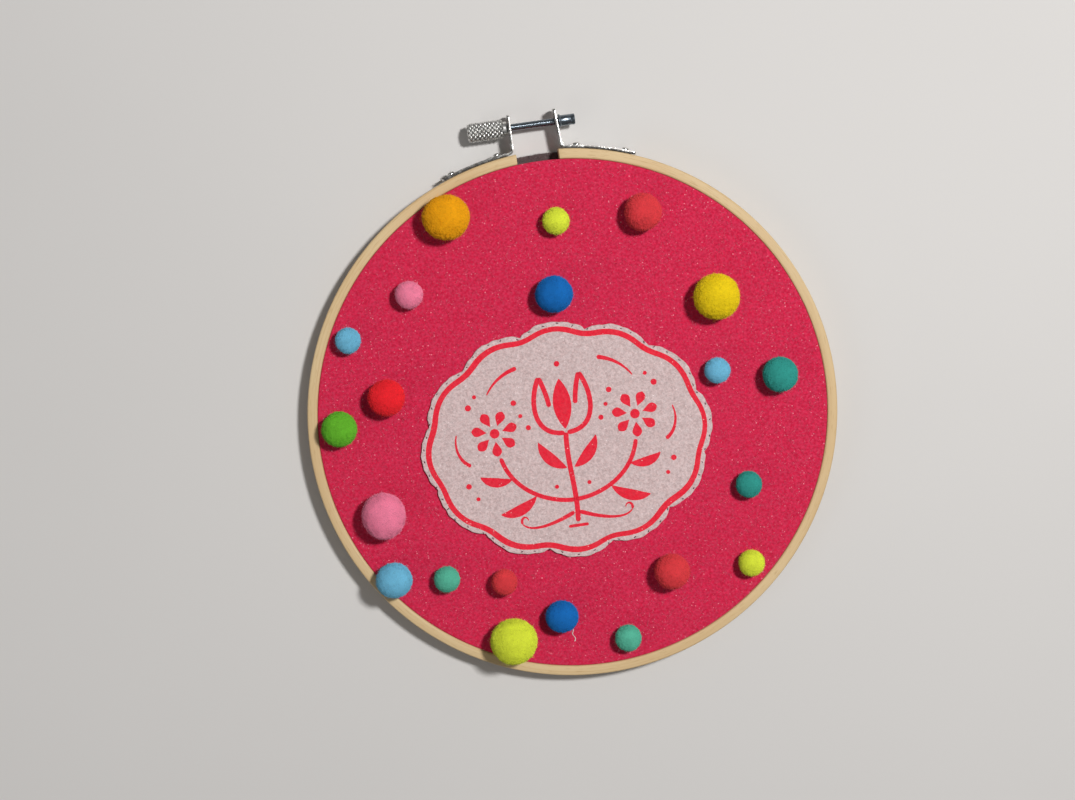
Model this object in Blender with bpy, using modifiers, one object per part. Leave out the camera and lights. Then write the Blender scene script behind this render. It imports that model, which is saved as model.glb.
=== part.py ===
"""Felt applique picture in a wooden embroidery hoop, modelled lying on its back.

The origin is the centre of the hoop on the back face of the backing felt. +X runs along the clamping screw
from its knurled head to its bush, +Y points to the gap in the outer ring, and +Z comes out of the picture
side. Units are metres; sizes are written as millimetres times MM.
"""
import math

import bmesh
import bpy
from mathutils import Matrix, Vector

MM = 0.001
GAP = 0.3 * MM  # air left between neighbouring pieces

# Outer ring: a flat bamboo strip bent into an 8 inch hoop and cut at the screw
HOOP_RADIUS = 105.0 * MM
RING_WALL = 4.0 * MM
RING_HEIGHT = 10.0 * MM
RING_EDGE = 0.7 * MM
RING_OPENING = 16.6 * MM
RING_STEPS = 120

# Backing felt glued over the back
BACKING_THICKNESS = 1.2 * MM
BACKING_RADIUS = 103.5 * MM
BACKING_UNEVENNESS = 0.35 * MM
BACKING_POINTS = 90

# Picture felt, stretched over the inner ring and gripped between the rings
FELT_THICKNESS = 1.2 * MM
FELT_RECESS = 0.3 * MM  # the felt's face lies this much below the outer ring's front edge
FELT_EDGE_RADIUS = 1.1 * MM
FELT_STEPS = 96
FELT_ARC = 4

INNER_WALL = 3.6 * MM
INNER_STEPS = 72

# Scalloped applique patch
PATCH_THICKNESS = 1.0 * MM
PATCH_CENTRE = (-4.0 * MM, -9.0 * MM)
PATCH_HALF_WIDTH = 56.0 * MM  # to the notches between the scallops
PATCH_HALF_HEIGHT = 44.0 * MM
SCALLOPS = 12
SCALLOP_RISE = 4.6 * MM
SCALLOP_POINTS = 8

# Clamping hardware
SCREW_AXIS_Y = 115.3 * MM
STRIP_THICKNESS = 1.0 * MM
STRIP_WIDTH = 9.0 * MM
STRIP_BEND = 1.8 * MM
STRIP_TAIL_ANGLE = 21.2  # degrees from +Y to the strip's free end
STRIP_STEP = 3.0  # degrees of ring that each straight facet of the strip spans
EAR_X = 9.5 * MM
EAR_TOP = 5.0 * MM  # above the screw's axis
EAR_LEAN = {"left": 0.0, "right": 4.0}  # degrees towards the gap
EAR_HOLE_RADIUS = 1.9 * MM
RIVET_RADIUS = 1.5 * MM
RIVET_HEIGHT = 0.8 * MM
RIVET_ANGLES = (8.5, 18.9)  # degrees from +Y

HEAD_RADIUS = 3.85 * MM
HEAD_LENGTH = 14.2 * MM
HEAD_ROUNDING = 1.2 * MM
KNURL_DEPTH = 0.35 * MM
KNURL_PITCH = 0.72 * MM  # along the head, from the row of raised points to the next
KNURL_COLUMNS = 28
COLLAR_RADIUS = 2.6 * MM
COLLAR_LENGTH = 1.4 * MM
ROD_RADIUS = 1.4 * MM
ROD_END_X = 15.4 * MM
BUSH_START_X = 10.0 * MM
BUSH_FLANGE_RADIUS = 2.6 * MM
BUSH_FLANGE_LENGTH = 0.8 * MM
BUSH_RADIUS = 2.1 * MM
BUSH_LENGTH = 6.5 * MM
BUSH_BORE = 1.7 * MM

# Pompoms: name, centre x, centre y, radius (all mm), colour
POMPOMS = (
    ("orange", -38.8, 84.5, 9.1, "orange"),
    ("lime_top", 3.3, 77.1, 5.4, "lime"),
    ("coral_top", 37.2, 75.9, 7.4, "coral"),
    ("pink_small", -57.3, 56.7, 5.5, "pink"),
    ("blue_middle", -1.4, 49.1, 7.3, "blue"),
    ("yellow", 61.2, 39.4, 9.2, "yellow"),
    ("sky_left", -83.4, 42.4, 5.3, "sky"),
    ("sky_right", 58.2, 10.3, 5.3, "sky"),
    ("teal_right", 82.4, 5.4, 7.1, "teal"),
    ("red", -71.8, 18.3, 7.3, "red"),
    ("green", -91.8, 8.6, 7.0, "green"),
    ("teal_small", 64.8, -36.4, 5.4, "teal"),
    ("pink_big", -79.5, -27.6, 8.9, "pink"),
    ("sky_low", -79.4, -53.9, 7.1, "sky"),
    ("mint_left", -58.8, -56.8, 5.3, "mint"),
    ("coral_small", -36.5, -61.2, 5.4, "coral"),
    ("coral_low", 29.9, -66.3, 7.3, "coral"),
    ("lime_small", 61.9, -67.9, 5.4, "lime"),
    ("lime_big", -36.0, -84.7, 9.2, "lime"),
    ("blue_low", -15.8, -78.1, 6.5, "blue"),
    ("mint_low", 9.2, -90.8, 5.4, "mint"),
)
POMPOM_FLAT = 0.92  # height of the centre above the glued flat spot, as a share of the radius
POMPOM_SQUASH = 0.97  # height of the ball as a share of its width
POMPOM_LUMPS = 0.02  # how far the clipped yarn wanders from round, as a share of the radius

# Material name: red, green, blue (linear), roughness, metallic
FINISHES = {
    "wood": (0.645, 0.445, 0.245, 0.55, 0.0),
    "picture_felt": (0.56, 0.018, 0.062, 0.95, 0.0),
    "patch_felt": (0.57, 0.42, 0.41, 0.95, 0.0),
    "backing_felt": (0.075, 0.05, 0.05, 0.95, 0.0),
    "nickel": (0.70, 0.69, 0.67, 0.25, 1.0),
    "zinc": (0.44, 0.47, 0.52, 0.30, 1.0),
    "orange": (0.73, 0.31, 0.012, 0.9, 0.0),
    "lime": (0.62, 0.64, 0.035, 0.9, 0.0),
    "coral": (0.62, 0.05, 0.06, 0.9, 0.0),
    "pink": (0.72, 0.17, 0.25, 0.9, 0.0),
    "blue": (0.016, 0.15, 0.46, 0.9, 0.0),
    "yellow": (0.73, 0.52, 0.015, 0.9, 0.0),
    "sky": (0.19, 0.39, 0.56, 0.9, 0.0),
    "teal": (0.04, 0.27, 0.23, 0.9, 0.0),
    "red": (0.74, 0.022, 0.03, 0.9, 0.0),
    "green": (0.13, 0.38, 0.025, 0.9, 0.0),
    "mint": (0.12, 0.39, 0.29, 0.9, 0.0),
}

RING_BOTTOM = BACKING_THICKNESS + GAP
RING_TOP = RING_BOTTOM + RING_HEIGHT
FELT_TOP = RING_TOP - FELT_RECESS
FELT_RADIUS = HOOP_RADIUS - RING_WALL - GAP
INNER_RADIUS = FELT_RADIUS - FELT_THICKNESS - GAP
INNER_TOP = FELT_TOP - FELT_THICKNESS - GAP
PATCH_BOTTOM = FELT_TOP + GAP
SCREW_AXIS_Z = RING_BOTTOM + RING_HEIGHT / 2
STRIP_RADIUS = HOOP_RADIUS + GAP + STRIP_THICKNESS / 2  # to the middle of the metal


def clear_scene():
    """Removes the objects of the startup scene."""
    for item in list(bpy.data.objects):
        bpy.data.objects.remove(item, do_unlink=True)


def make_collection(name):
    """A new collection in the scene."""
    collection = bpy.data.collections.new(name)
    bpy.context.scene.collection.children.link(collection)
    return collection


def make_material(name):
    """A Principled material from its row in FINISHES."""
    red, green, blue, roughness, metallic = FINISHES[name]
    material = bpy.data.materials.new(name)
    material.use_nodes = True
    shader = material.node_tree.nodes["Principled BSDF"]
    shader.inputs["Base Color"].default_value = (red, green, blue, 1.0)
    shader.inputs["Roughness"].default_value = roughness
    shader.inputs["Metallic"].default_value = metallic
    material.diffuse_color = (red, green, blue, 1.0)
    return material


def add_mesh(name, bm, finish, collection):
    """Turns a bmesh into a named object with its finish, and frees the bmesh."""
    mesh = bpy.data.meshes.new(name)
    bm.to_mesh(mesh)
    bm.free()
    mesh.materials.append(make_material(finish))
    item = bpy.data.objects.new(name, mesh)
    collection.objects.link(item)
    return item


def shade_round(item):
    """Smooth shading with the hard edges kept."""
    item.data.shade_smooth()
    item.data.set_sharp_from_angle(angle=math.radians(35))


def add_turned(name, profile, closed, steps, finish, collection):
    """A solid turned about Z from (radius, height) points that run down the outer side.

    A closed profile makes a ring; an open one starts and ends on the axis.
    """
    bm = bmesh.new()
    verts = [bm.verts.new((radius, 0.0, height)) for radius, height in profile]
    for start, end in zip(verts, verts[1:]):
        bm.edges.new((start, end))
    if closed:
        bm.edges.new((verts[-1], verts[0]))
    item = add_mesh(name, bm, finish, collection)
    screw = item.modifiers.new("turn", "SCREW")
    screw.angle = 2 * math.pi
    screw.steps = steps
    screw.render_steps = steps
    screw.use_merge_vertices = True
    screw.merge_threshold = 0.00001
    screw.use_smooth_shade = False
    return item


def add_flat(name, outline, bottom, thickness, finish, collection):
    """A flat sheet cut to a closed outline of (x, y) points."""
    curve = bpy.data.curves.new(name, "CURVE")
    curve.dimensions = "2D"
    curve.fill_mode = "BOTH"
    curve.extrude = thickness / 2
    spline = curve.splines.new("POLY")
    spline.points.add(len(outline) - 1)
    for point, (x, y) in zip(spline.points, outline):
        point.co = (x, y, 0.0, 1.0)
    spline.use_cyclic_u = True
    curve.materials.append(make_material(finish))
    item = bpy.data.objects.new(name, curve)
    item.location = (0.0, 0.0, bottom + thickness / 2)
    collection.objects.link(item)
    return item


def add_cutter(name, bm, matrix, collection):
    """A hidden cutting body."""
    mesh = bpy.data.meshes.new(name)
    bm.to_mesh(mesh)
    bm.free()
    item = bpy.data.objects.new(name, mesh)
    item.matrix_world = matrix
    item.hide_render = True
    item.display_type = "WIRE"
    collection.objects.link(item)
    return item


def cut(item, cutter):
    """Takes the cutter's shape away from an object."""
    boolean = item.modifiers.new("cut_" + cutter.name, "BOOLEAN")
    boolean.operation = "DIFFERENCE"
    boolean.solver = "EXACT"
    boolean.object = cutter


def chamfered_section(inner, outer, bottom, top, edge):
    """A ring's section with its four corners taken off, down the outer side first."""
    return [
        (outer - edge, top), (outer, top - edge), (outer, bottom + edge), (outer - edge, bottom),
        (inner + edge, bottom), (inner, bottom + edge), (inner, top - edge), (inner + edge, top),
    ]


def build_rings(parts, cutters):
    """The split outer ring and the whole inner ring of the hoop."""
    outer = add_turned(
        "outer_ring",
        chamfered_section(HOOP_RADIUS - RING_WALL, HOOP_RADIUS, RING_BOTTOM, RING_TOP, RING_EDGE),
        True, RING_STEPS, "wood", parts,
    )
    slot = bmesh.new()
    bmesh.ops.create_cube(slot, size=1.0)
    bmesh.ops.scale(slot, vec=(RING_OPENING, 6 * RING_WALL, 2 * RING_HEIGHT), verts=slot.verts)
    place = Matrix.Translation((0.0, HOOP_RADIUS, SCREW_AXIS_Z))
    cut(outer, add_cutter("ring_opening", slot, place, cutters))
    add_turned(
        "inner_ring",
        chamfered_section(INNER_RADIUS - INNER_WALL, INNER_RADIUS, RING_BOTTOM, INNER_TOP, RING_EDGE / 2),
        True, INNER_STEPS, "wood", parts,
    )


def backing_outline():
    """A circle cut by hand, a few tenths of a millimetre uneven."""
    points = []
    for index in range(BACKING_POINTS):
        angle = 2 * math.pi * index / BACKING_POINTS
        wander = math.sin(5 * angle + 0.7) + 0.6 * math.sin(9 * angle + 2.1)
        radius = BACKING_RADIUS + BACKING_UNEVENNESS * wander / 1.6
        points.append((radius * math.cos(angle), radius * math.sin(angle)))
    return points


def build_backing(parts):
    """The dark felt glued over the back of the hoop."""
    add_flat("backing", backing_outline(), 0.0, BACKING_THICKNESS, "backing_felt", parts)


def felt_section():
    """The picture felt from its centre, over the inner ring's rounded edge and down between the rings."""
    inside = FELT_RADIUS - FELT_THICKNESS
    underside = FELT_TOP - FELT_THICKNESS
    section = [(0.0, FELT_TOP)]
    for index in range(FELT_ARC + 1):
        angle = math.pi / 2 * index / FELT_ARC
        radius = FELT_RADIUS - FELT_EDGE_RADIUS * (1 - math.sin(angle))
        section.append((radius, FELT_TOP - FELT_EDGE_RADIUS * (1 - math.cos(angle))))
    section += [(FELT_RADIUS, RING_BOTTOM), (inside, RING_BOTTOM), (inside, underside), (0.0, underside)]
    return section


def build_felt(parts):
    """The picture felt, a shallow cap over the inner ring."""
    add_turned("picture_felt", felt_section(), False, FELT_STEPS, "picture_felt", parts)


def scalloped_outline():
    """An oval of outward scallops that meet in notches."""
    notches = []
    for index in range(SCALLOPS):
        angle = 2 * math.pi * (index + 0.5) / SCALLOPS
        # Equal steps of the oval's length, to first order, so that the scallops are alike
        angle += 0.5 * (PATCH_HALF_WIDTH - PATCH_HALF_HEIGHT) / (PATCH_HALF_WIDTH + PATCH_HALF_HEIGHT) * (
            math.sin(2 * angle)
        )
        notches.append(Vector((PATCH_HALF_WIDTH * math.cos(angle), PATCH_HALF_HEIGHT * math.sin(angle))))
    outline = []
    for start, end in zip(notches, notches[1:] + notches[:1]):
        chord = end - start
        outward = Vector((chord.y, -chord.x)).normalized()
        for step in range(SCALLOP_POINTS):
            share = step / SCALLOP_POINTS
            rise = SCALLOP_RISE * math.sin(math.pi * share) ** 0.75
            point = start + share * chord + rise * outward
            outline.append((PATCH_CENTRE[0] + point.x, PATCH_CENTRE[1] + point.y))
    return outline


def build_patch(parts):
    """The pale felt patch sewn on the picture felt."""
    add_flat("patch", scalloped_outline(), PATCH_BOTTOM, PATCH_THICKNESS, "patch_felt", parts)


def lump(point, number):
    """How far the yarn of a pompom stands out in a direction, as a factor of its radius."""
    direction = point.normalized()
    waves = math.sin(3.1 * direction.x + 1.3 * number) + math.sin(3.7 * direction.y + 2.1 * number)
    return 1.0 + POMPOM_LUMPS * (waves + math.sin(4.3 * direction.z + 0.7 * number)) / 3


def build_pompoms(parts):
    """Wool balls glued to the felt by a small flat spot."""
    for number, (name, x, y, radius_mm, colour) in enumerate(POMPOMS):
        radius = radius_mm * MM
        bm = bmesh.new()
        bmesh.ops.create_icosphere(bm, subdivisions=3, radius=radius)
        for vert in bm.verts:
            vert.co *= lump(vert.co, number)
        bmesh.ops.scale(bm, vec=(1.0, 1.0, POMPOM_SQUASH), verts=bm.verts)
        flat = -POMPOM_FLAT * POMPOM_SQUASH * radius
        sliced = bmesh.ops.bisect_plane(
            bm, geom=list(bm.verts) + list(bm.edges) + list(bm.faces),
            plane_co=(0.0, 0.0, flat), plane_no=(0.0, 0.0, 1.0), clear_inner=True,
        )
        rim = [part for part in sliced["geom_cut"] if isinstance(part, bmesh.types.BMEdge)]
        bmesh.ops.contextual_create(bm, geom=rim)
        bmesh.ops.recalc_face_normals(bm, faces=bm.faces)
        ball = add_mesh("pompom_" + name, bm, colour, parts)
        ball.location = (x * MM, y * MM, FELT_TOP + GAP - flat)
        shade_round(ball)


def strip_line(lean_degrees):
    """The middle line of a clamp strip on the +X side, from the ear's top to the free end."""
    lean = math.radians(lean_degrees)
    bend_x = EAR_X + STRIP_BEND
    bend_y = math.sqrt((STRIP_RADIUS + STRIP_BEND) ** 2 - bend_x ** 2)
    foot = Vector((bend_x - STRIP_BEND * math.cos(lean), bend_y - STRIP_BEND * math.sin(lean)))
    rise = (SCREW_AXIS_Y + EAR_TOP - foot.y) / math.cos(lean)
    points = [foot + rise * Vector((-math.sin(lean), math.cos(lean)))]
    first = math.pi + lean
    last = math.atan2(bend_y, bend_x) + math.pi
    facets = 5
    for index in range(facets + 1):
        angle = first + (last - first) * index / facets
        points.append(Vector((bend_x + STRIP_BEND * math.cos(angle), bend_y + STRIP_BEND * math.sin(angle))))
    start = math.pi / 2 - math.atan2(bend_y, bend_x)
    end = math.radians(STRIP_TAIL_ANGLE)
    facets = round((end - start) / math.radians(STRIP_STEP))
    for index in range(1, facets + 1):
        angle = start + (end - start) * index / facets
        points.append(Vector((STRIP_RADIUS * math.sin(angle), STRIP_RADIUS * math.cos(angle))))
    return points


def build_strip(side, sign, parts, cutters):
    """One bent clamp strip with a round-topped ear and its screw hole."""
    bm = bmesh.new()
    low = SCREW_AXIS_Z - STRIP_WIDTH / 2
    line = strip_line(EAR_LEAN[side])
    rows = [
        [bm.verts.new((sign * point.x, point.y, height)) for height in (low, low + STRIP_WIDTH)]
        for point in line
    ]
    for upper, lower in zip(rows, rows[1:]):
        bm.faces.new((upper[0], upper[1], lower[1], lower[0]))
    bmesh.ops.bevel(
        bm, geom=rows[0] + rows[-1], offset=0.49 * STRIP_WIDTH, offset_type="OFFSET",
        segments=6, profile=0.5, affect="VERTICES", clamp_overlap=True,
    )
    strip = add_mesh("clamp_" + side, bm, "nickel", parts)
    wall = strip.modifiers.new("metal", "SOLIDIFY")
    wall.thickness = STRIP_THICKNESS
    wall.offset = 0.0
    wall.use_even_offset = True
    drill = bmesh.new()
    bmesh.ops.create_cone(
        drill, cap_ends=True, segments=20, radius1=EAR_HOLE_RADIUS, radius2=EAR_HOLE_RADIUS, depth=8 * MM,
    )
    place = Matrix.Translation((sign * EAR_X, SCREW_AXIS_Y, SCREW_AXIS_Z)) @ Matrix.Rotation(
        math.pi / 2, 4, "Y"
    )
    cut(strip, add_cutter("screw_hole_" + side, drill, place, cutters))
    for number, angle_degrees in enumerate(RIVET_ANGLES, start=1):
        build_rivet(f"rivet_{side}_{number}", sign * angle_degrees, parts)


def build_rivet(name, angle_degrees, parts):
    """A low domed rivet head on a clamp strip, at an angle from +Y towards +X."""
    arc = 3
    section = []
    for index in range(arc + 1):
        angle = math.pi / 2 * index / arc
        section.append((RIVET_RADIUS * math.sin(angle), RIVET_HEIGHT * math.cos(angle)))
    section.append((0.0, 0.0))
    rivet = add_turned(name, section, False, 16, "nickel", parts)
    angle = math.radians(angle_degrees)
    radius = HOOP_RADIUS + 2 * GAP + STRIP_THICKNESS
    outward = Vector((math.sin(angle), math.cos(angle), 0.0))
    turn = outward.to_track_quat("Z", "Y").to_matrix().to_4x4()
    rivet.matrix_world = Matrix.Translation(radius * outward + Vector((0.0, 0.0, SCREW_AXIS_Z))) @ turn


def on_screw_axis(item, x):
    """Lays a turned piece's own axis along +X, with its zero height at x on the screw's axis."""
    place = Matrix.Translation((x, SCREW_AXIS_Y, SCREW_AXIS_Z))
    item.matrix_world = place @ Matrix.Rotation(math.pi / 2, 4, "Y")


def build_bush(parts):
    """The flanged threaded bush outside the right ear."""
    section = [
        (BUSH_RADIUS, BUSH_LENGTH), (BUSH_RADIUS, BUSH_FLANGE_LENGTH),
        (BUSH_FLANGE_RADIUS, BUSH_FLANGE_LENGTH), (BUSH_FLANGE_RADIUS, 0.0),
        (BUSH_BORE, 0.0), (BUSH_BORE, BUSH_LENGTH),
    ]
    on_screw_axis(add_turned("bush", section, True, 24, "zinc", parts), BUSH_START_X)


def knurl(bm, bottom, top):
    """Raises every second point of the head's wall in both directions, for a diamond grip."""
    for vert in bm.verts:
        if not bottom - KNURL_PITCH / 2 < vert.co.z < top + KNURL_PITCH / 2:
            continue
        column = round(math.atan2(vert.co.y, vert.co.x) * KNURL_COLUMNS / (2 * math.pi))
        row = round((vert.co.z - bottom) / KNURL_PITCH)
        if (column + row) % 2:
            shrink = 1.0 - KNURL_DEPTH / HEAD_RADIUS
            vert.co.x *= shrink
            vert.co.y *= shrink


def build_thumb_screw(parts):
    """The turning screw: knurled head, collar and threaded rod in one piece."""
    collar_end = -EAR_X - STRIP_THICKNESS / 2 - GAP
    head_end = collar_end - COLLAR_LENGTH
    tip = head_end - HEAD_LENGTH
    rows = int((HEAD_LENGTH - 2 * HEAD_ROUNDING) / KNURL_PITCH)
    bottom = (head_end + tip - rows * KNURL_PITCH) / 2
    top = bottom + rows * KNURL_PITCH
    inner = HEAD_RADIUS - HEAD_ROUNDING
    section = [(0.0, ROD_END_X), (0.8 * ROD_RADIUS, ROD_END_X), (ROD_RADIUS, ROD_END_X - 0.2 * ROD_RADIUS)]
    section += [(ROD_RADIUS, collar_end), (COLLAR_RADIUS, collar_end), (COLLAR_RADIUS, head_end)]
    section += [(inner, head_end), (HEAD_RADIUS - 0.3 * HEAD_ROUNDING, head_end - 0.3 * HEAD_ROUNDING)]
    section += [(HEAD_RADIUS, top - KNURL_PITCH * row) for row in range(rows + 1)]
    section += [(HEAD_RADIUS - 0.3 * HEAD_ROUNDING, tip + 0.3 * HEAD_ROUNDING), (inner, tip), (0.0, tip)]
    bm = bmesh.new()
    verts = [bm.verts.new((radius, 0.0, height)) for radius, height in section]
    edges = [bm.edges.new(pair) for pair in zip(verts, verts[1:])]
    bmesh.ops.spin(
        bm, geom=verts + edges, cent=(0.0, 0.0, 0.0), axis=(0.0, 0.0, 1.0),
        angle=2 * math.pi, steps=KNURL_COLUMNS, use_merge=True,
    )
    bmesh.ops.remove_doubles(bm, verts=bm.verts, dist=0.01 * MM)
    knurl(bm, bottom, top)
    bmesh.ops.recalc_face_normals(bm, faces=bm.faces)
    on_screw_axis(add_mesh("thumb_screw", bm, "zinc", parts), 0.0)


def main():
    """Builds every piece of the hoop and its picture."""
    clear_scene()
    parts = make_collection("felt_picture_in_hoop")
    cutters = make_collection("cutters")
    build_rings(parts, cutters)
    build_backing(parts)
    build_felt(parts)
    build_patch(parts)
    build_pompoms(parts)
    for side, sign in (("left", -1), ("right", 1)):
        build_strip(side, sign, parts, cutters)
    build_bush(parts)
    build_thumb_screw(parts)


main()
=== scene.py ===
"""The looks of a felt applique picture in a wooden embroidery hoop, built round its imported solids.

Lengths are metres in the hoop's own frame: the hoop lies on its back, +Z comes out of the picture side,
+Y points to the clamping screw and +X runs along it. Every finish is procedural, and every loose fibre is
a mesh.
"""
from __future__ import annotations

import logging
import math
from collections.abc import Callable, Iterable
from dataclasses import dataclass, field
from enum import Enum

import bmesh
import bpy
import numpy as np
from mathutils import Matrix, Vector, noise

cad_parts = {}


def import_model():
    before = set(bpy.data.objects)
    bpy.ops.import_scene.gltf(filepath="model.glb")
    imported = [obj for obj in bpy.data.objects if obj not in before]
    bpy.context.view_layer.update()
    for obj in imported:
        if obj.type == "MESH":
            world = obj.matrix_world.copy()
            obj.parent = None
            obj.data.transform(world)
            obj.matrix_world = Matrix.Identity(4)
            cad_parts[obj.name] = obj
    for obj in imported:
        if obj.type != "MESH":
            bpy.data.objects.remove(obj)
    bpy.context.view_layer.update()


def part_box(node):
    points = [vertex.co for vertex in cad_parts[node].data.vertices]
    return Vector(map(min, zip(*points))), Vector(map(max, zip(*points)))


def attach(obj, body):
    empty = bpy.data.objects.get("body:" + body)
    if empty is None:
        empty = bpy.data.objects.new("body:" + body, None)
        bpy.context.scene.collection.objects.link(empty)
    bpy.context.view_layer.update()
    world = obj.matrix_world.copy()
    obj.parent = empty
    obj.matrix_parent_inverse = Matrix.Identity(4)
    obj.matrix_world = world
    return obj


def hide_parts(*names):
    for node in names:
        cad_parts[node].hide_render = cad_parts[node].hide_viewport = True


LOG = logging.getLogger("hoop_picture")
MM = 0.001
TURN = 2 * math.pi
HOOP_BODY = "hoop"
SCREW_BODY = "screw"
SCREW_AXIS = Vector((0.0, 115.3, 6.5)) * MM
LEVEL_SLACK = 0.01 * MM  # heights nearer than this count as level
NOISE_SEED = 5  # without one, noise_vector is seeded from the clock and each run differs

Colour = tuple[float, float, float, float]


def screen(red: int, green: int, blue: int) -> Colour:
    """A screen colour from 0 to 255 as linear light with full alpha."""
    shares = [value / 255 for value in (red, green, blue)]
    light = [share / 12.92 if share <= 0.04045 else ((share + 0.055) / 1.055) ** 2.4 for share in shares]
    return (light[0], light[1], light[2], 1.0)


def tinted(colour: Colour, factor: float, lift: float = 0.0) -> Colour:
    """A lighter or darker version of a colour: each channel times the factor, plus some white."""
    red, green, blue = (min(1.0, channel * factor + lift) for channel in colour[:3])
    return (red, green, blue, 1.0)


def quarter(steps: int) -> list[tuple[float, float]]:
    """The sine and cosine at each step of a quarter turn, from 0 to 90 degrees."""
    angles = [0.25 * TURN * index / steps for index in range(steps + 1)]
    return [(math.sin(angle), math.cos(angle)) for angle in angles]


def ripple(x: float, y: float, density: float, layer: float) -> float:
    """Smooth noise at a place, denser by the density, and different on each layer."""
    return noise.noise(Vector((x * density, y * density, layer)))


def unit_rows(rows: np.ndarray) -> np.ndarray:
    """The rows scaled to a length of 1."""
    return rows / np.maximum(np.linalg.norm(rows, axis=1, keepdims=True), 1e-9)


def round_places(reach: np.ndarray, angle: np.ndarray) -> np.ndarray:
    """The (x, y) rows at the given distances and angles from the middle."""
    return np.column_stack([reach * np.cos(angle), reach * np.sin(angle)])


class Tree:
    """Places, sets and links the nodes of one shader or group tree."""

    def __init__(self, tree: bpy.types.NodeTree) -> None:
        """Args:
            tree: The node tree to fill.
        """
        self.tree = tree

    def add(self, kind: str, inputs: dict | None = None, **settings: object) -> bpy.types.Node:
        """Adds a node.

        Args:
            kind: The node's type name, without its ShaderNode prefix.
            inputs: Input names or numbers, each with a socket to link or a value to set.
            settings: The node's own properties.

        Returns:
            The new node.
        """
        node = self.tree.nodes.new(kind if kind.startswith("NodeGroup") else "ShaderNode" + kind)
        for name, value in settings.items():
            setattr(node, name, value)
        for name, value in (inputs or {}).items():
            self.feed(node.inputs[name], value)
        return node

    def feed(self, socket: bpy.types.NodeSocket, value: object) -> None:
        """Links a socket into another, or sets its value."""
        if isinstance(value, bpy.types.NodeSocket):
            self.tree.links.new(value, socket)
        else:
            socket.default_value = value

    def math(self, operation: str, first: object, second: object = 0.0) -> bpy.types.NodeSocket:
        """The result of a Math node on two sockets or numbers."""
        return self.add("Math", {0: first, 1: second}, operation=operation).outputs[0]

    def ramp(self, value: bpy.types.NodeSocket, low: float, high: float) -> bpy.types.NodeSocket:
        """The value stretched so that low becomes 0 and high becomes 1, clamped and eased."""
        span = {"Value": value, "From Min": low, "From Max": high}
        return self.add("MapRange", span, interpolation_type="SMOOTHSTEP").outputs["Result"]

    def mix(self, share: object, first: object, second: object) -> bpy.types.NodeSocket:
        """A colour mixed from two sockets or colours by a share."""
        return self.add("Mix", {0: share, 6: first, 7: second}, data_type="RGBA").outputs[2]

    def noise(self, place: bpy.types.NodeSocket, scale: object, detail: float) -> bpy.types.NodeSocket:
        """The value of a Noise texture."""
        return self.add("TexNoise", {"Vector": place, "Scale": scale, "Detail": detail}).outputs["Fac"]

    def mapped(self, place: bpy.types.NodeSocket, turn: tuple, density: tuple) -> bpy.types.NodeSocket:
        """Coordinates turned, then packed more or less densely along each turned axis."""
        stretch = tuple(1 / value for value in density)
        inputs = {"Vector": place, "Rotation": turn, "Scale": stretch}
        return self.add("Mapping", inputs, vector_type="TEXTURE").outputs[0]

    def group(self, tree: bpy.types.NodeTree, **inputs: float) -> bpy.types.Node:
        """Places a node group with its named inputs set."""
        return self.add("Group", {name.capitalize(): value for name, value in inputs.items()}, node_tree=tree)


def new_group(name: str, inputs: dict[str, float], outputs: Iterable[str]) -> tuple[bpy.types.NodeTree, Tree]:
    """An empty shader group with float sockets.

    Args:
        name: The group's name.
        inputs: Its input names and default values.
        outputs: Its output names.

    Returns:
        The group and a Tree that fills it.
    """
    group = bpy.data.node_groups.new(name, "ShaderNodeTree")
    for label, value in inputs.items():
        socket = group.interface.new_socket(label, in_out="INPUT", socket_type="NodeSocketFloat")
        socket.default_value = value
    for label in outputs:
        group.interface.new_socket(label, in_out="OUTPUT", socket_type="NodeSocketFloat")
    return group, Tree(group)


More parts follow.
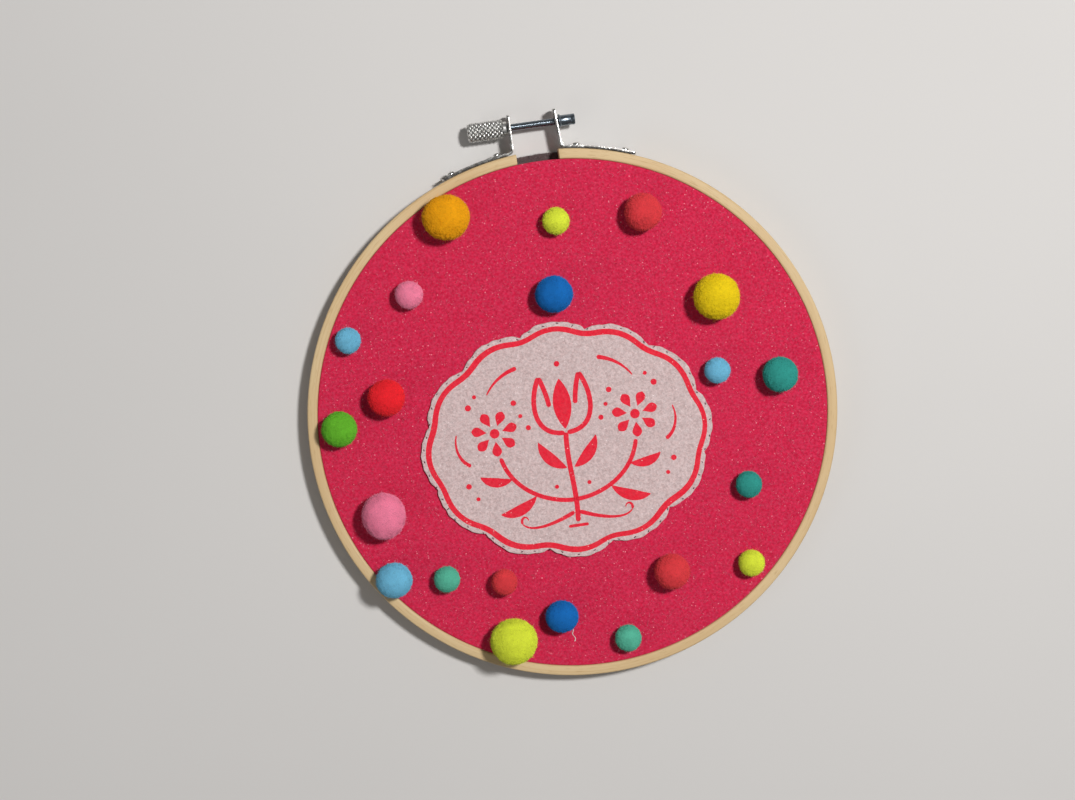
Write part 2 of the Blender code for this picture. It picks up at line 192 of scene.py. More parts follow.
class Effects:
    """The shader groups that several finishes share, each built once."""

    def __init__(self) -> None:
        """Builds the groups."""
        self.fibres = self.make_fibres()
        self.glints = self.make_glints()
        self.mottle = self.make_mottle()
        self.scratches = self.make_scratches()

    @staticmethod
    def make_fibres() -> bpy.types.NodeTree:
        """Matted fibres: short streaks that lie over each other in four directions."""
        group, tree = new_group("matted_fibres", {"Density": 900.0}, ["Tone", "Height"])
        entry = tree.add("NodeGroupInput")
        place = tree.add("TexCoord").outputs["Object"]
        layers = []
        for number, angle in enumerate((0.3, 1.1, 1.9, 2.7)):
            turned = tree.mapped(place, (0.2 * number, 0.1, angle), (1.0, 0.3, 0.7))
            layers.append(tree.noise(turned, entry.outputs["Density"], 2.0))
        crossed = [tree.math("MAXIMUM", *pair) for pair in (layers[:2], layers[2:])]
        top = tree.math("MAXIMUM", *crossed)
        mean = tree.math("ADD", tree.math("ADD", layers[0], layers[1]), layers[2])
        tone = tree.math("ADD", tree.math("MULTIPLY", top, 0.6), tree.math("MULTIPLY", mean, 0.4 / 3))
        tree.add("NodeGroupOutput", {"Tone": tone, "Height": top})
        return group

    @staticmethod
    def make_glints() -> bpy.types.NodeTree:
        """Rare bright specks where a loose fibre catches the light."""
        group, tree = new_group("fibre_glints", {"Density": 650.0, "Share": 0.1}, ["Mask"])
        entry = tree.add("NodeGroupInput")
        place = tree.add("TexCoord").outputs["Object"]
        cells = tree.add("TexVoronoi", {"Vector": place, "Scale": entry.outputs["Density"]}, feature="F1")
        spot = tree.ramp(cells.outputs["Distance"], 0.42, 0.12)
        luck = tree.add("SeparateColor", {0: cells.outputs["Color"]}).outputs[0]
        chosen = tree.math("LESS_THAN", luck, entry.outputs["Share"])
        tree.add("NodeGroupOutput", {"Mask": tree.math("MULTIPLY", spot, chosen)})
        return group

    @staticmethod
    def make_mottle() -> bpy.types.NodeTree:
        """Broad soft patches, for colour that isn't quite even."""
        group, tree = new_group("soft_mottle", {"Density": 60.0}, ["Mask"])
        entry = tree.add("NodeGroupInput")
        cloud = tree.noise(tree.add("TexCoord").outputs["Object"], entry.outputs["Density"], 4.0)
        tree.add("NodeGroupOutput", {"Mask": tree.ramp(cloud, 0.3, 0.7)})
        return group

    @staticmethod
    def make_scratches() -> bpy.types.NodeTree:
        """Fine handling scratches that cross a surface both ways."""
        group, tree = new_group("fine_scratches", {"Density": 500.0}, ["Mask"])
        entry = tree.add("NodeGroupInput")
        place = tree.add("TexCoord").outputs["Object"]
        lines = []
        for angle, stretch in ((0.5, (1.0, 0.05, 0.4)), (2.0, (1.0, 0.08, 0.3))):
            turned = tree.mapped(place, (0.3, 0.2, angle), stretch)
            lines.append(tree.ramp(tree.noise(turned, entry.outputs["Density"], 3.0), 0.56, 0.66))
        tree.add("NodeGroupOutput", {"Mask": tree.math("MAXIMUM", *lines)})
        return group


class Finish:
    """What every finish shares: a named material, its Principled shader and its relief."""

    name: str

    def start(self) -> tuple[bpy.types.Material, Tree, bpy.types.Node]:
        """Returns a new material, the Tree that fills it and its Principled node."""
        material = bpy.data.materials.new(self.name)
        material.use_nodes = True
        return material, Tree(material.node_tree), material.node_tree.nodes["Principled BSDF"]

    @staticmethod
    def set(shader: bpy.types.Node, **values: float) -> None:
        """Sets the shader's constant sockets, named with underscores for spaces."""
        for name, value in values.items():
            shader.inputs[name.replace("_", " ")].default_value = value

    @staticmethod
    def relief(
        tree: Tree, shader: bpy.types.Node, height: bpy.types.NodeSocket, depth: float, share: float
    ) -> None:
        """Gives a finish its relief.

        Args:
            tree: The material's tree.
            shader: The Principled node.
            height: A height from 0 to 1.
            depth: What a height of 1 stands for, in metres.
            share: How much of it shows.
        """
        bump = tree.add("Bump", {"Height": height, "Distance": depth, "Strength": share})
        tree.feed(shader.inputs["Normal"], bump.outputs["Normal"])


@dataclass(frozen=True)
class FeltFinish(Finish):
    """Craft felt: matted acrylic fibres with lighter strays and a few glints."""

    name: str
    colour: Colour
    light: float = 1.15
    dark: float = 0.82
    stray: Colour = (0.9, 0.8, 0.8, 1.0)
    glint: Colour = (1.0, 0.9, 0.9, 1.0)
    density: float = 1900.0
    speckle: float = 0.16
    glint_share: float = 0.07
    glint_strength: float = 0.9
    bump: float = 0.35

    def make(self, effects: Effects) -> bpy.types.Material:
        """Returns the felt's material."""
        material, tree, shader = self.start()
        fibres = tree.group(effects.fibres, density=self.density)
        mottle = tree.group(effects.mottle, density=55.0)
        speckle = tree.group(effects.mottle, density=1000.0)
        glints = tree.group(effects.glints, density=1400.0, share=self.glint_share)
        tone = tree.ramp(fibres.outputs["Tone"], 0.45, 0.68)
        base = tree.mix(tone, tinted(self.colour, self.dark), tinted(self.colour, self.light))
        cloudy = tree.mix(tree.math("MULTIPLY", mottle.outputs["Mask"], 0.12), base, tinted(self.colour, 0.8))
        pale = tree.mix(tree.math("MULTIPLY", speckle.outputs["Mask"], self.speckle), cloudy, self.stray)
        lit = tree.math("MULTIPLY", glints.outputs["Mask"], tone)
        spark = tree.math("MULTIPLY", lit, self.glint_strength)
        tree.feed(shader.inputs["Base Color"], tree.mix(spark, pale, self.glint))
        self.set(shader, Roughness=0.92, Specular_IOR_Level=0.25, Sheen_Weight=0.15, Sheen_Roughness=0.45)
        self.relief(tree, shader, fibres.outputs["Height"], 0.3 * MM, self.bump)
        return material


@dataclass(frozen=True)
class PileFinish(Finish):
    """Loose fibres and clipped yarn, coloured from fibre to fibre by the tone attribute: each fibre's own
    random tone, and on pompoms a painted shade at the roots and in the core.
    """

    name: str
    dark: Colour
    light: Colour
    printed: Colour | None = None
    sheen: float = 0.25

    def make(self, effects: Effects) -> bpy.types.Material:
        """Returns the pile's material."""
        material, tree, shader = self.start()
        tone = tree.add("Attribute", attribute_name="tone").outputs["Fac"]
        mottle = tree.group(effects.mottle, density=240.0)
        shade = tree.math("SUBTRACT", tone, tree.math("MULTIPLY", mottle.outputs["Mask"], 0.18))
        colour = tree.mix(tree.math("MAXIMUM", shade, 0.0), self.dark, self.light)
        if self.printed:
            inked = tree.add("Attribute", attribute_name="inked").outputs["Fac"]
            colour = tree.mix(inked, colour, self.printed)
        tree.feed(shader.inputs["Base Color"], colour)
        self.set(
            shader, Roughness=0.92, Specular_IOR_Level=0.12, Sheen_Weight=self.sheen, Sheen_Roughness=0.4
        )
        return material


@dataclass(frozen=True)
class BambooFinish(Finish):
    """Pale sanded bamboo, its grain laid by the grain UV map: metres along the ring and round its section."""

    name: str = "sanded_bamboo"
    colour: Colour = screen(209, 183, 140)
    streak: Colour = screen(188, 153, 106)
    tick: Colour = screen(172, 138, 92)

    def make(self, effects: Effects) -> bpy.types.Material:
        """Returns the bamboo's material."""
        material, tree, shader = self.start()
        grain = tree.add("UVMap", uv_map="grain").outputs["UV"]
        flat = (0.0, 0.0, 0.0)
        streaks = tree.noise(tree.mapped(grain, flat, (22.0, 1500.0, 1.0)), 1.0, 3.0)
        bands = tree.noise(tree.mapped(grain, flat, (9.0, 260.0, 1.0)), 1.0, 2.0)
        ticks = tree.noise(tree.mapped(grain, flat, (190.0, 2300.0, 1.0)), 1.0, 1.0)
        mottle = tree.group(effects.mottle, density=28.0)
        line = tree.math("MULTIPLY", tree.ramp(streaks, 0.45, 0.72), 0.5)
        broad = tree.math("MULTIPLY", tree.ramp(bands, 0.4, 0.75), 0.4)
        base = tree.mix(tree.math("MAXIMUM", line, broad), self.colour, self.streak)
        cloudy = tree.mix(tree.math("MULTIPLY", mottle.outputs["Mask"], 0.3), base, tinted(self.streak, 1.1))
        mark = tree.math("MULTIPLY", tree.ramp(ticks, 0.6, 0.72), 0.45)
        tree.feed(shader.inputs["Base Color"], tree.mix(mark, cloudy, self.tick))
        rough = tree.add("MapRange", {"Value": streaks, "To Min": 0.5, "To Max": 0.68})
        tree.feed(shader.inputs["Roughness"], rough.outputs["Result"])
        self.set(shader, Specular_IOR_Level=0.35)
        self.relief(tree, shader, tree.math("ADD", streaks, ticks), 0.08 * MM, 0.5)
        return material


@dataclass(frozen=True)
class PlatedFinish(Finish):
    """Plated metal with handling scratches, tarnished spots, and painted reflection on its top edges and
    painted shade in its grooves.
    """

    name: str
    colour: Colour
    # The darker colour: of tarnished spots, of the painted reflection on sheared edges and of the painted
    # shade in grooves.
    dull_and_shade: Colour
    roughness: float = 0.2
    sheared_above: float = 1.0
    grooved: bool = False

    def make(self, effects: Effects) -> bpy.types.Material:
        """Returns the metal's material: sheared edges above a height are rougher and streaked darker as a
        painted reflection, and it takes a painted shade where crown is low.
        """
        material, tree, shader = self.start()
        mottle = tree.group(effects.mottle, density=420.0)
        scratches = tree.group(effects.scratches, density=900.0)
        place = tree.add("TexCoord").outputs["Object"]
        level = tree.add("SeparateXYZ", {0: place}).outputs[2]
        # Painted reflection: the top sheared edges, above sheared_above, get darker streaks for the broken
        # reflections along them; their extra roughness and relief are the sheared metal's own.
        edge = tree.ramp(level, self.sheared_above - 0.1 * MM, self.sheared_above + 0.1 * MM)
        edge_wear_and_reflection = tree.math("MULTIPLY", edge, tree.ramp(tree.noise(place, 950.0, 1.0), 0.4, 0.54))
        wear_and_painted_shade = tree.math("MAXIMUM", tree.math("MULTIPLY", mottle.outputs["Mask"], 0.3), edge_wear_and_reflection)
        # Painted shade, with some grime: the knurl's grooves, where crown is low, take the darker colour.
        if self.grooved:
            crown = tree.add("Attribute", attribute_name="crown").outputs["Fac"]
            wear_and_painted_shade = tree.math("MAXIMUM", wear_and_painted_shade, tree.ramp(crown, 0.55, 0.1))
        tree.feed(shader.inputs["Base Color"], tree.mix(wear_and_painted_shade, self.colour, self.dull_and_shade))
        spread = tree.math("ADD", tree.math("MULTIPLY", wear_and_painted_shade, 0.12), self.roughness)
        rough = tree.math("ADD", spread, tree.math("MULTIPLY", scratches.outputs["Mask"], 0.1))
        tree.feed(shader.inputs["Roughness"], rough)
        self.set(shader, Metallic=1.0)
        self.relief(tree, shader, tree.math("SUBTRACT", scratches.outputs["Mask"], edge_wear_and_reflection), 0.02 * MM, 0.5)
        return material


@dataclass(frozen=True)
class GlueFinish(Finish):
    """Hot-melt glue, clear to milky."""

    name: str = "hot_glue"
    clear: Colour = screen(238, 226, 224)
    milky: Colour = screen(214, 190, 192)

    def make(self, effects: Effects) -> bpy.types.Material:
        """Returns the glue's material."""
        material, tree, shader = self.start()
        mottle = tree.group(effects.mottle, density=700.0)
        tree.feed(shader.inputs["Base Color"], tree.mix(mottle.outputs["Mask"], self.clear, self.milky))
        self.set(shader, Roughness=0.25)
        return material


@dataclass(frozen=True)
class FloorFinish(Finish):
    """The plain pale paper that the hoop lies on."""

    name: str = "pale_floor"
    colour: Colour = (0.62, 0.6, 0.58, 1.0)

    def make(self, effects: Effects) -> bpy.types.Material:
        """Returns the floor's material."""
        material, tree, shader = self.start()
        mottle = tree.group(effects.mottle, density=3.0)
        clouded = tree.mix(mottle.outputs["Mask"], self.colour, tinted(self.colour, 0.97))
        tree.feed(shader.inputs["Base Color"], clouded)
        self.set(shader, Roughness=0.9)
        return material


class Wool(Enum):
    """The colours of clipped pompom yarn, in linear light."""

    ORANGE = (0.68, 0.305, 0.005, 1.0)
    LIME = (0.59, 0.655, 0.044, 1.0)
    CORAL = (0.61, 0.044, 0.053, 1.0)
    PINK = (0.73, 0.2, 0.31, 1.0)
    BLUE = (0.008, 0.13, 0.405, 1.0)
    YELLOW = (0.68, 0.5, 0.008, 1.0)
    SKY = (0.145, 0.41, 0.57, 1.0)
    TEAL = (0.03, 0.27, 0.23, 1.0)
    RED = (0.73, 0.018, 0.027, 1.0)
    GREEN = (0.12, 0.4, 0.025, 1.0)
    MINT = (0.09, 0.4, 0.28, 1.0)

    @property
    def slot(self) -> str:
        """The record's material slot for this yarn."""
        return "wool_" + self.name.lower()

    def finish(self) -> PileFinish:
        """The yarn's finish, darker at its roots than at its cut ends: a painted shade in the pile, besides
        each end's own random tone.
        """
        dark, light = tinted(self.value, 0.72), tinted(self.value, 1.36)
        return PileFinish("clipped_wool_" + self.name.lower(), dark, light)


def shown(name: str, mesh: bpy.types.Mesh) -> bpy.types.Object:
    """Puts a mesh in the scene as an object at the origin."""
    piece = bpy.data.objects.new(name, mesh)
    bpy.context.scene.collection.objects.link(piece)
    return piece


def finished(
    name: str, bm: bmesh.types.BMesh, material: bpy.types.Material, sharp: float = 35.0
) -> bpy.types.Object:
    """Turns a bmesh into a shown, smooth-shaded piece at the origin.

    Args:
        name: The piece's name.
        bm: Its shape, which is freed.
        material: Its finish.
        sharp: The angle in degrees past which an edge stays hard.

    Returns:
        The new object.
    """
    mesh = bpy.data.meshes.new(name)
    bm.to_mesh(mesh)
    bm.free()
    mesh.materials.append(material)
    mesh.shade_smooth()
    mesh.set_sharp_from_angle(angle=math.radians(sharp))
    return shown(name, mesh)


def place_piece(piece: bpy.types.Object, body: str, slot: str, *nodes: str) -> bpy.types.Object:
    """Rides a piece on its body and lets it stand for its solids, which it hides.

    Args:
        piece: The finished piece.
        body: The body it moves with.
        slot: The record's material slot; not used.
        nodes: The solids that it stands for.

    Returns:
        The same piece.
    """
    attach(piece, body)
    if nodes:
        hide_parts(*nodes)
    triangles = sum(len(polygon.vertices) - 2 for polygon in piece.data.polygons)
    LOG.info("%s: %d triangles, moves with %s", piece.name, triangles, body)
    return piece


def edges_of(parts: Iterable[object]) -> list[bmesh.types.BMEdge]:
    """The edges among an operator's results."""
    return [part for part in parts if isinstance(part, bmesh.types.BMEdge)]


def verts_of(parts: Iterable[object]) -> list[bmesh.types.BMVert]:
    """The points among an operator's results."""
    return [part for part in parts if isinstance(part, bmesh.types.BMVert)]


def spin_section(
    bm: bmesh.types.BMesh, section: list[tuple[float, float]], closed: bool, steps: int,
    angle: float = TURN, first: float = 0.0,
) -> tuple[list[bmesh.types.BMEdge], list[bmesh.types.BMEdge]]:
    """Turns (radius, height) points about Z.

    Args:
        bm: The bmesh to add to.
        section: The points; an open section starts and ends on the axis.
        closed: Whether the last point joins the first.
        steps: Facets in the turn.
        angle: How far it turns.
        first: The angle from +X at which it starts.

    Returns:
        The edges of the first and of the last section.
    """
    verts = [bm.verts.new((radius, 0.0, height)) for radius, height in section]
    pairs = list(zip(verts, verts[1:])) + ([(verts[-1], verts[0])] if closed else [])
    edges = [bm.edges.new(pair) for pair in pairs]
    bmesh.ops.rotate(bm, verts=verts, cent=(0, 0, 0), matrix=Matrix.Rotation(first, 3, "Z"))
    whole = angle >= TURN
    made = bmesh.ops.spin(
        bm, geom=verts + edges, cent=(0, 0, 0), axis=(0, 0, 1), angle=angle, steps=steps, use_merge=whole
    )
    last = edges_of(made["geom_last"])
    if whole:
        bmesh.ops.remove_doubles(bm, verts=bm.verts, dist=0.002 * MM)
        bmesh.ops.recalc_face_normals(bm, faces=bm.faces)
    return edges, last


def onto_screw_axis(bm: bmesh.types.BMesh) -> None:
    """Lays a shape turned about Z along the screw, its zero height at the middle of the opening."""
    place = Matrix.Translation(SCREW_AXIS) @ Matrix.Rotation(0.25 * TURN, 4, "Y")
    bmesh.ops.transform(bm, matrix=place, verts=bm.verts)


def rounded_section(
    inner: float, outer: float, bottom: float, top: float, corner: float, segments: int = 4
) -> list[tuple[float, float]]:
    """A rectangle with round corners, as (radius, height) points in order.

    Args:
        inner: The smaller radius.
        outer: The larger radius.
        bottom: The lower height.
        top: The upper height.
        corner: The corners' radius.
        segments: Facets in each corner.

    Returns:
        The points round the section.
    """
    centres = (
        (outer - corner, top - corner), (inner + corner, top - corner),
        (inner + corner, bottom + corner), (outer - corner, bottom + corner),
    )
    points = []
    for quarter, (radius, height) in enumerate(centres):
        for index in range(segments + 1):
            angle = 0.25 * TURN * (quarter + index / segments)
            points.append((radius + corner * math.cos(angle), height + corner * math.sin(angle)))
    return points


def sweep(bm: bmesh.types.BMesh, path: list[Vector], radii: list[float], sides: int) -> None:
    """Adds a round tube with closed ends along a path.

    Args:
        bm: The bmesh to add it to.
        path: The points of its middle line.
        radii: Its radius at each point.
        sides: Facets round it.
    """
    ring = bmesh.ops.create_circle(bm, segments=sides, radius=1.0)["verts"]
    shape = [vert.co.copy() for vert in ring]
    edges = list({edge for vert in ring for edge in vert.link_edges})
    first = edges
    for index, (point, radius) in enumerate(zip(path, radii)):
        if index:
            made = bmesh.ops.extrude_edge_only(bm, edges=edges)["geom"]
            edges, ring = edges_of(made), verts_of(made)
        ahead = path[min(index + 1, len(path) - 1)] - path[max(index - 1, 0)]
        turn = ahead.to_track_quat("Z", "Y").to_matrix()
        for vert, corner in zip(ring, shape):
            vert.co = point + turn @ (corner * radius)
    for end in (first, edges):
        bmesh.ops.contextual_create(bm, geom=end)


@dataclass
class Fibres:
    """Thousands of slim spindles or cones gathered as arrays and made into one mesh."""

    points: list[np.ndarray] = field(default_factory=list)
    corners: list[np.ndarray] = field(default_factory=list)
    tones: list[np.ndarray] = field(default_factory=list)
    inks: list[np.ndarray] = field(default_factory=list)
    count: int = 0

    @staticmethod
    def rings(along: np.ndarray, middles: np.ndarray, half_widths: np.ndarray) -> list[np.ndarray]:
        """Three points round each fibre, square to its run."""
        along = unit_rows(along)
        helper = np.where(np.abs(along[:, 2:3]) > 0.8, [[1.0, 0.0, 0.0]], [[0.0, 0.0, 1.0]])
        side = unit_rows(np.cross(along, helper))
        other = np.cross(along, side)
        rows = []
        for angle in (TURN * (0.25 + third / 3) for third in range(3)):
            outward = math.cos(angle) * side + math.sin(angle) * other
            rows.append(middles + half_widths[:, None] * outward)
        return rows

    def gather(self, rows: list[np.ndarray], faces: list[tuple], tones: np.ndarray, inks: np.ndarray) -> None:
        """Keeps a batch of fibres that all have the same few points and faces."""
        shape = np.stack(rows, axis=1)
        first = self.count + np.arange(len(shape)) * len(rows)
        self.corners.append((first[:, None, None] + np.array(faces)[None]).reshape(-1, 3))
        self.points.append(shape.reshape(-1, 3))
        self.tones.append(tones.reshape(-1))
        self.inks.append(np.repeat(inks, len(rows)))
        self.count += len(shape) * len(rows)

    def lay(
        self, roots: np.ndarray, middles: np.ndarray, tips: np.ndarray, half_widths: np.ndarray,
        tones: np.ndarray, inks: np.ndarray | None = None,
    ) -> None:
        """Adds spindles, pointed at both ends.

        Args:
            roots: Where each fibre starts.
            middles: Its thickest place.
            tips: Where it ends.
            half_widths: Its radius at the middle.
            tones: Its shade from 0, dark, to 1, light.
            inks: 1 where the fibre is printed, else 0.
        """
        rows = [roots, *self.rings(tips - roots, middles, half_widths), tips]
        faces = [(0, 2, 1), (0, 3, 2), (0, 1, 3), (4, 1, 2), (4, 2, 3), (4, 3, 1)]
        shades = np.repeat(tones[:, None], 5, axis=1)
        self.gather(rows, faces, shades, inks if inks is not None else np.zeros(len(tones)))

    def stand(self, roots: np.ndarray, tips: np.ndarray, half_widths: np.ndarray, tones: np.ndarray) -> None:
        """Adds cones, wide at the root and darker there, a painted shade deep in the pile.

        Args:
            roots: The middle of each base.
            tips: Where it ends.
            half_widths: Its radius at the base.
            tones: Its shade at the tip, from 0, dark, to 1, light.
        """
        rows = [*self.rings(tips - roots, roots, half_widths), tips]
        faces = [(0, 2, 1), (3, 0, 1), (3, 1, 2), (3, 2, 0)]
        # Painted shade: each root takes 0.6 of its tip's tone.
        shades = np.column_stack([0.6 * tones, 0.6 * tones, 0.6 * tones, tones])
        self.gather(rows, faces, shades, np.zeros(len(tones)))

    @staticmethod
    def shade_as_ball(mesh: bpy.types.Mesh, centre: Vector, share: float = 0.85, lift: float = 1.6) -> None:
        """Turns the normals of a ball's pile outwards near its top, where light falls along the fibres.

        Args:
            mesh: The ball with its pile.
            centre: The ball's middle.
            share: How far the normals turn at the very top.
            lift: How far they lean up, as light that scatters within the pile evens it out.
        """
        points, normals = np.empty((2, 3 * len(mesh.vertices)))
        mesh.vertices.foreach_get("co", points)
        mesh.vertices.foreach_get("normal", normals)
        outward = unit_rows(points.reshape(-1, 3) - np.array(centre))
        turned = share * np.clip(outward[:, 2:], 0.3, 1.0)
        aimed = unit_rows(outward + np.array([0.0, 0.0, lift]))
        mixed = unit_rows(turned * aimed + (1 - turned) * normals.reshape(-1, 3))
        mesh.normals_split_custom_set_from_vertices(mixed.tolist())

    def piece(
        self, name: str, material: bpy.types.Material, bm: bmesh.types.BMesh | None = None,
        centre: Vector | None = None,
    ) -> bpy.types.Object:
        """Makes the shown piece.

        Args:
            name: Its name.
            material: Its finish.
            bm: A core that the fibres grow from, which is freed and keeps its own tone; a pompom's core tone
                is painted shade.
            centre: The middle of a ball that the fibres grow from.

        Returns:
            The piece with its tone and inked attributes.
        """
        mesh = bpy.data.meshes.new(name)
        mesh.from_pydata(np.concatenate(self.points).tolist(), [], np.concatenate(self.corners).tolist())
        for label, values in (("tone", self.tones), ("inked", self.inks)):
            layer = mesh.attributes.new(label, "FLOAT", "POINT")
            layer.data.foreach_set("value", np.concatenate(values).astype(np.float32))
        if bm:
            bm.from_mesh(mesh)
            bmesh.ops.recalc_face_normals(bm, faces=bm.faces)
            bm.to_mesh(mesh)
            bm.free()
        mesh.materials.append(material)
        mesh.shade_smooth()
        if centre is not None:
            self.shade_as_ball(mesh, centre)
        return shown(name, mesh)


def matted(
    places: np.ndarray, height: Callable[[float, float], float], rng: np.random.Generator,
    length: tuple[float, float], half_width: float, rise: float,
) -> tuple[np.ndarray, np.ndarray, np.ndarray, np.ndarray]:
    """Fibres that lie on a nearly flat sheet, each arched a little off it.

    Args:
        places: The (x, y) middles.
        height: The sheet's height at a place.
        rng: The seeded source of chance.
        length: The shortest and longest fibre.
        half_width: Their radius.
        rise: How far the highest arch stands off the sheet.

    Returns:
        Roots, middles, tips and half widths.
    """
    count = len(places)
    heights = np.array([height(x, y) for x, y in places])
    angle = rng.uniform(0, TURN, count)
    bend = rng.normal(0, 0.35, count)
    half = rng.uniform(*length, count) / 2
    lift = rng.uniform(0.1, 1.0, count) * rise
    ends = []
    for sign in (-1.0, 1.0):
        turn = angle + sign * bend
        step = sign * half[:, None] * round_places(np.ones(count), turn)
        ends.append(np.column_stack([places + step, heights + lift * rng.uniform(-0.3, 0.7, count)]))
    middle = np.column_stack([places, heights + lift])
    return ends[0], middle, ends[1], half_width * rng.uniform(0.7, 1.3, count)


@dataclass
class BambooRing:
    """One bamboo ring of the hoop, with its grain mapped along it."""

    node: str
    wall: float
    opening: float = 0.0
    corner: float = 0.75 * MM
    saw_bevel: float = 0.25 * MM
    steps: int = 260

    def build(self, bamboo: bpy.types.Material) -> bpy.types.Object:
        """Returns the ring, split square to the screw if it has an opening."""
        low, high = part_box(self.node)
        section = rounded_section(high.x - self.wall, high.x, low.z, high.z, self.corner)
        bm = bmesh.new()
        grain = bm.loops.layers.uv.new("grain")
        if self.opening:
            margin = math.asin(self.opening / 2 / high.x)
            ends = spin_section(bm, section, True, self.steps, TURN - 2 * margin, 0.25 * TURN + margin)
            for end in ends:
                bmesh.ops.contextual_create(bm, geom=end)
            bmesh.ops.recalc_face_normals(bm, faces=bm.faces)
            self.saw_ends(bm)
        else:
            spin_section(bm, section, True, self.steps)
        self.map_grain(bm, grain, section, high.x)
        piece = finished("bamboo_" + self.node, bm, bamboo, 50.0)
        return place_piece(piece, HOOP_BODY, "wood", self.node)

    def saw_ends(self, bm: bmesh.types.BMesh) -> None:
        """Moves the end points so that both sawn faces are square to the screw, and breaks their edges."""
        half = self.opening / 2
        sawn = {vert for vert in bm.verts if vert.co.y > 0 and abs(vert.co.x) < half + 0.05 * MM}
        for vert in sawn:
            reach = math.hypot(vert.co.x, vert.co.y)
            vert.co.x = math.copysign(half, vert.co.x)
            vert.co.y = math.sqrt(reach ** 2 - half ** 2)
        rims = [edge for edge in bm.edges if edge.verts[0] in sawn and edge.verts[1] in sawn]
        bmesh.ops.bevel(
            bm, geom=rims, offset=self.saw_bevel, offset_type="OFFSET", segments=2, profile=0.5,
            affect="EDGES", material=-1,
        )

    @staticmethod
    def map_grain(
        bm: bmesh.types.BMesh, grain: bmesh.types.BMLayerItem, section: list[tuple[float, float]],
        radius: float,
    ) -> None:
        """Writes the grain UV map: metres along the ring and metres round its section."""
        corners = np.array(section)
        steps = np.linalg.norm(corners - np.roll(corners, 1, axis=0), axis=1)
        walked = np.cumsum(steps)
        periods = (TURN * radius, walked[-1])
        for face in bm.faces:
            places = []
            for loop in face.loops:
                point = loop.vert.co
                nearest = np.argmin(((corners - (math.hypot(point.x, point.y), point.z)) ** 2).sum(axis=1))
                places.append([math.atan2(point.x, -point.y) * radius, float(walked[nearest])])
            for axis, period in enumerate(periods):
                top = max(place[axis] for place in places)
                for place in places:
                    if top - place[axis] > period / 2:
                        place[axis] += period
            for loop, place in zip(face.loops, places):
                loop[grain].uv = place


@dataclass
class PictureFelt:
    """The pink felt: a cap stretched over the inner ring, with its loose fibres."""

    thickness: float = 1.2 * MM
    edge_radius: float = 0.6 * MM
    edge_steps: int = 5
    steps: int = 200
    ring_spacing: float = 2.4 * MM
    unevenness: float = 0.10 * MM
    squeeze: float = 0.25 * MM
    fibre_count: int = 24000
    fibre_length: tuple[float, float] = (0.7 * MM, 2.2 * MM)
    fibre_radius: float = 0.035 * MM
    fibre_rise: float = 0.16 * MM
    radius: float = field(init=False)
    bottom: float = field(init=False)
    top: float = field(init=False)

    def __post_init__(self) -> None:
        """Takes the felt's place from its solid, and lets it swell out to meet the ring that squeezes it."""
        low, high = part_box("picture_felt")
        self.radius, self.bottom, self.top = high.x + self.squeeze, low.z, high.z

    def height(self, x: float, y: float) -> float:
        """The height of the felt's face, which is a little uneven."""
        wave = ripple(x, y, 38, 1.7) + 0.5 * ripple(x, y, 95, 4.1)
        inside = (self.radius - self.edge_radius - math.hypot(x, y)) / (6 * MM)
        return self.top + self.unevenness * (wave - 0.4) * max(0.0, min(1.0, inside))

    def section(self) -> list[tuple[float, float]]:
        """The felt's section from the middle of its face, over the edge, down, and back under."""
        crown = self.radius - self.edge_radius
        rings = round(crown / self.ring_spacing)
        points = [(crown * index / rings, self.top) for index in range(rings + 1)]
        for out, up in quarter(self.edge_steps)[1:]:
            points.append((crown + self.edge_radius * out, self.top - self.edge_radius * (1 - up)))
        inside = self.radius - self.thickness
        under = self.top - self.thickness
        points += [(self.radius, self.bottom), (inside, self.bottom), (inside, under - 0.3 * MM)]
        points += [(crown * index / 8, under) for index in range(7, -1, -1)]
        return points

    def build(self, felt: bpy.types.Material) -> bpy.types.Object:
        """Returns the felt sheet."""
        bm = bmesh.new()
        spin_section(bm, self.section(), False, self.steps)
        for vert in bm.verts:
            if vert.co.z > self.top - LEVEL_SLACK:
                vert.co.z = self.height(vert.co.x, vert.co.y)
        piece = finished("felt_face", bm, felt, 60.0)
        return place_piece(piece, HOOP_BODY, "picture_felt", "picture_felt")

    def build_pile(
        self, material: bpy.types.Material, covered: Callable[[float, float], bool]
    ) -> bpy.types.Object:
        """Makes the loose fibres that lie on the felt.

        Args:
            material: Their finish.
            covered: Says whether the patch covers a place.

        Returns:
            The fibres.
        """
        rng = np.random.default_rng(11)
        reach = (self.radius - 0.6 * MM) * np.sqrt(rng.uniform(0, 1, self.fibre_count))
        places = round_places(reach, rng.uniform(0, TURN, self.fibre_count))
        places = places[[not covered(x, y) for x, y in places]]
        shape = matted(
            places, self.height, rng, self.fibre_length, self.fibre_radius, self.fibre_rise
        )
        for part in shape[:3]:
            far = np.linalg.norm(part[:, :2], axis=1, keepdims=True)
            part[:, :2] *= np.minimum(1.0, (self.radius - 0.2 * MM) / far)
        tones = rng.beta(1.3, 3.2, len(places))
        tones[rng.uniform(0, 1, len(places)) < 0.04] = 1.0
        fibres = Fibres()
        fibres.lay(*shape, tones)
        return place_piece(fibres.piece("felt_face_fibres", material), HOOP_BODY, "picture_felt")

    def declare(self, sheet: bpy.types.Object, pile: bpy.types.Object) -> None:
        """Takes the sheet and its fibres, and does nothing with them."""


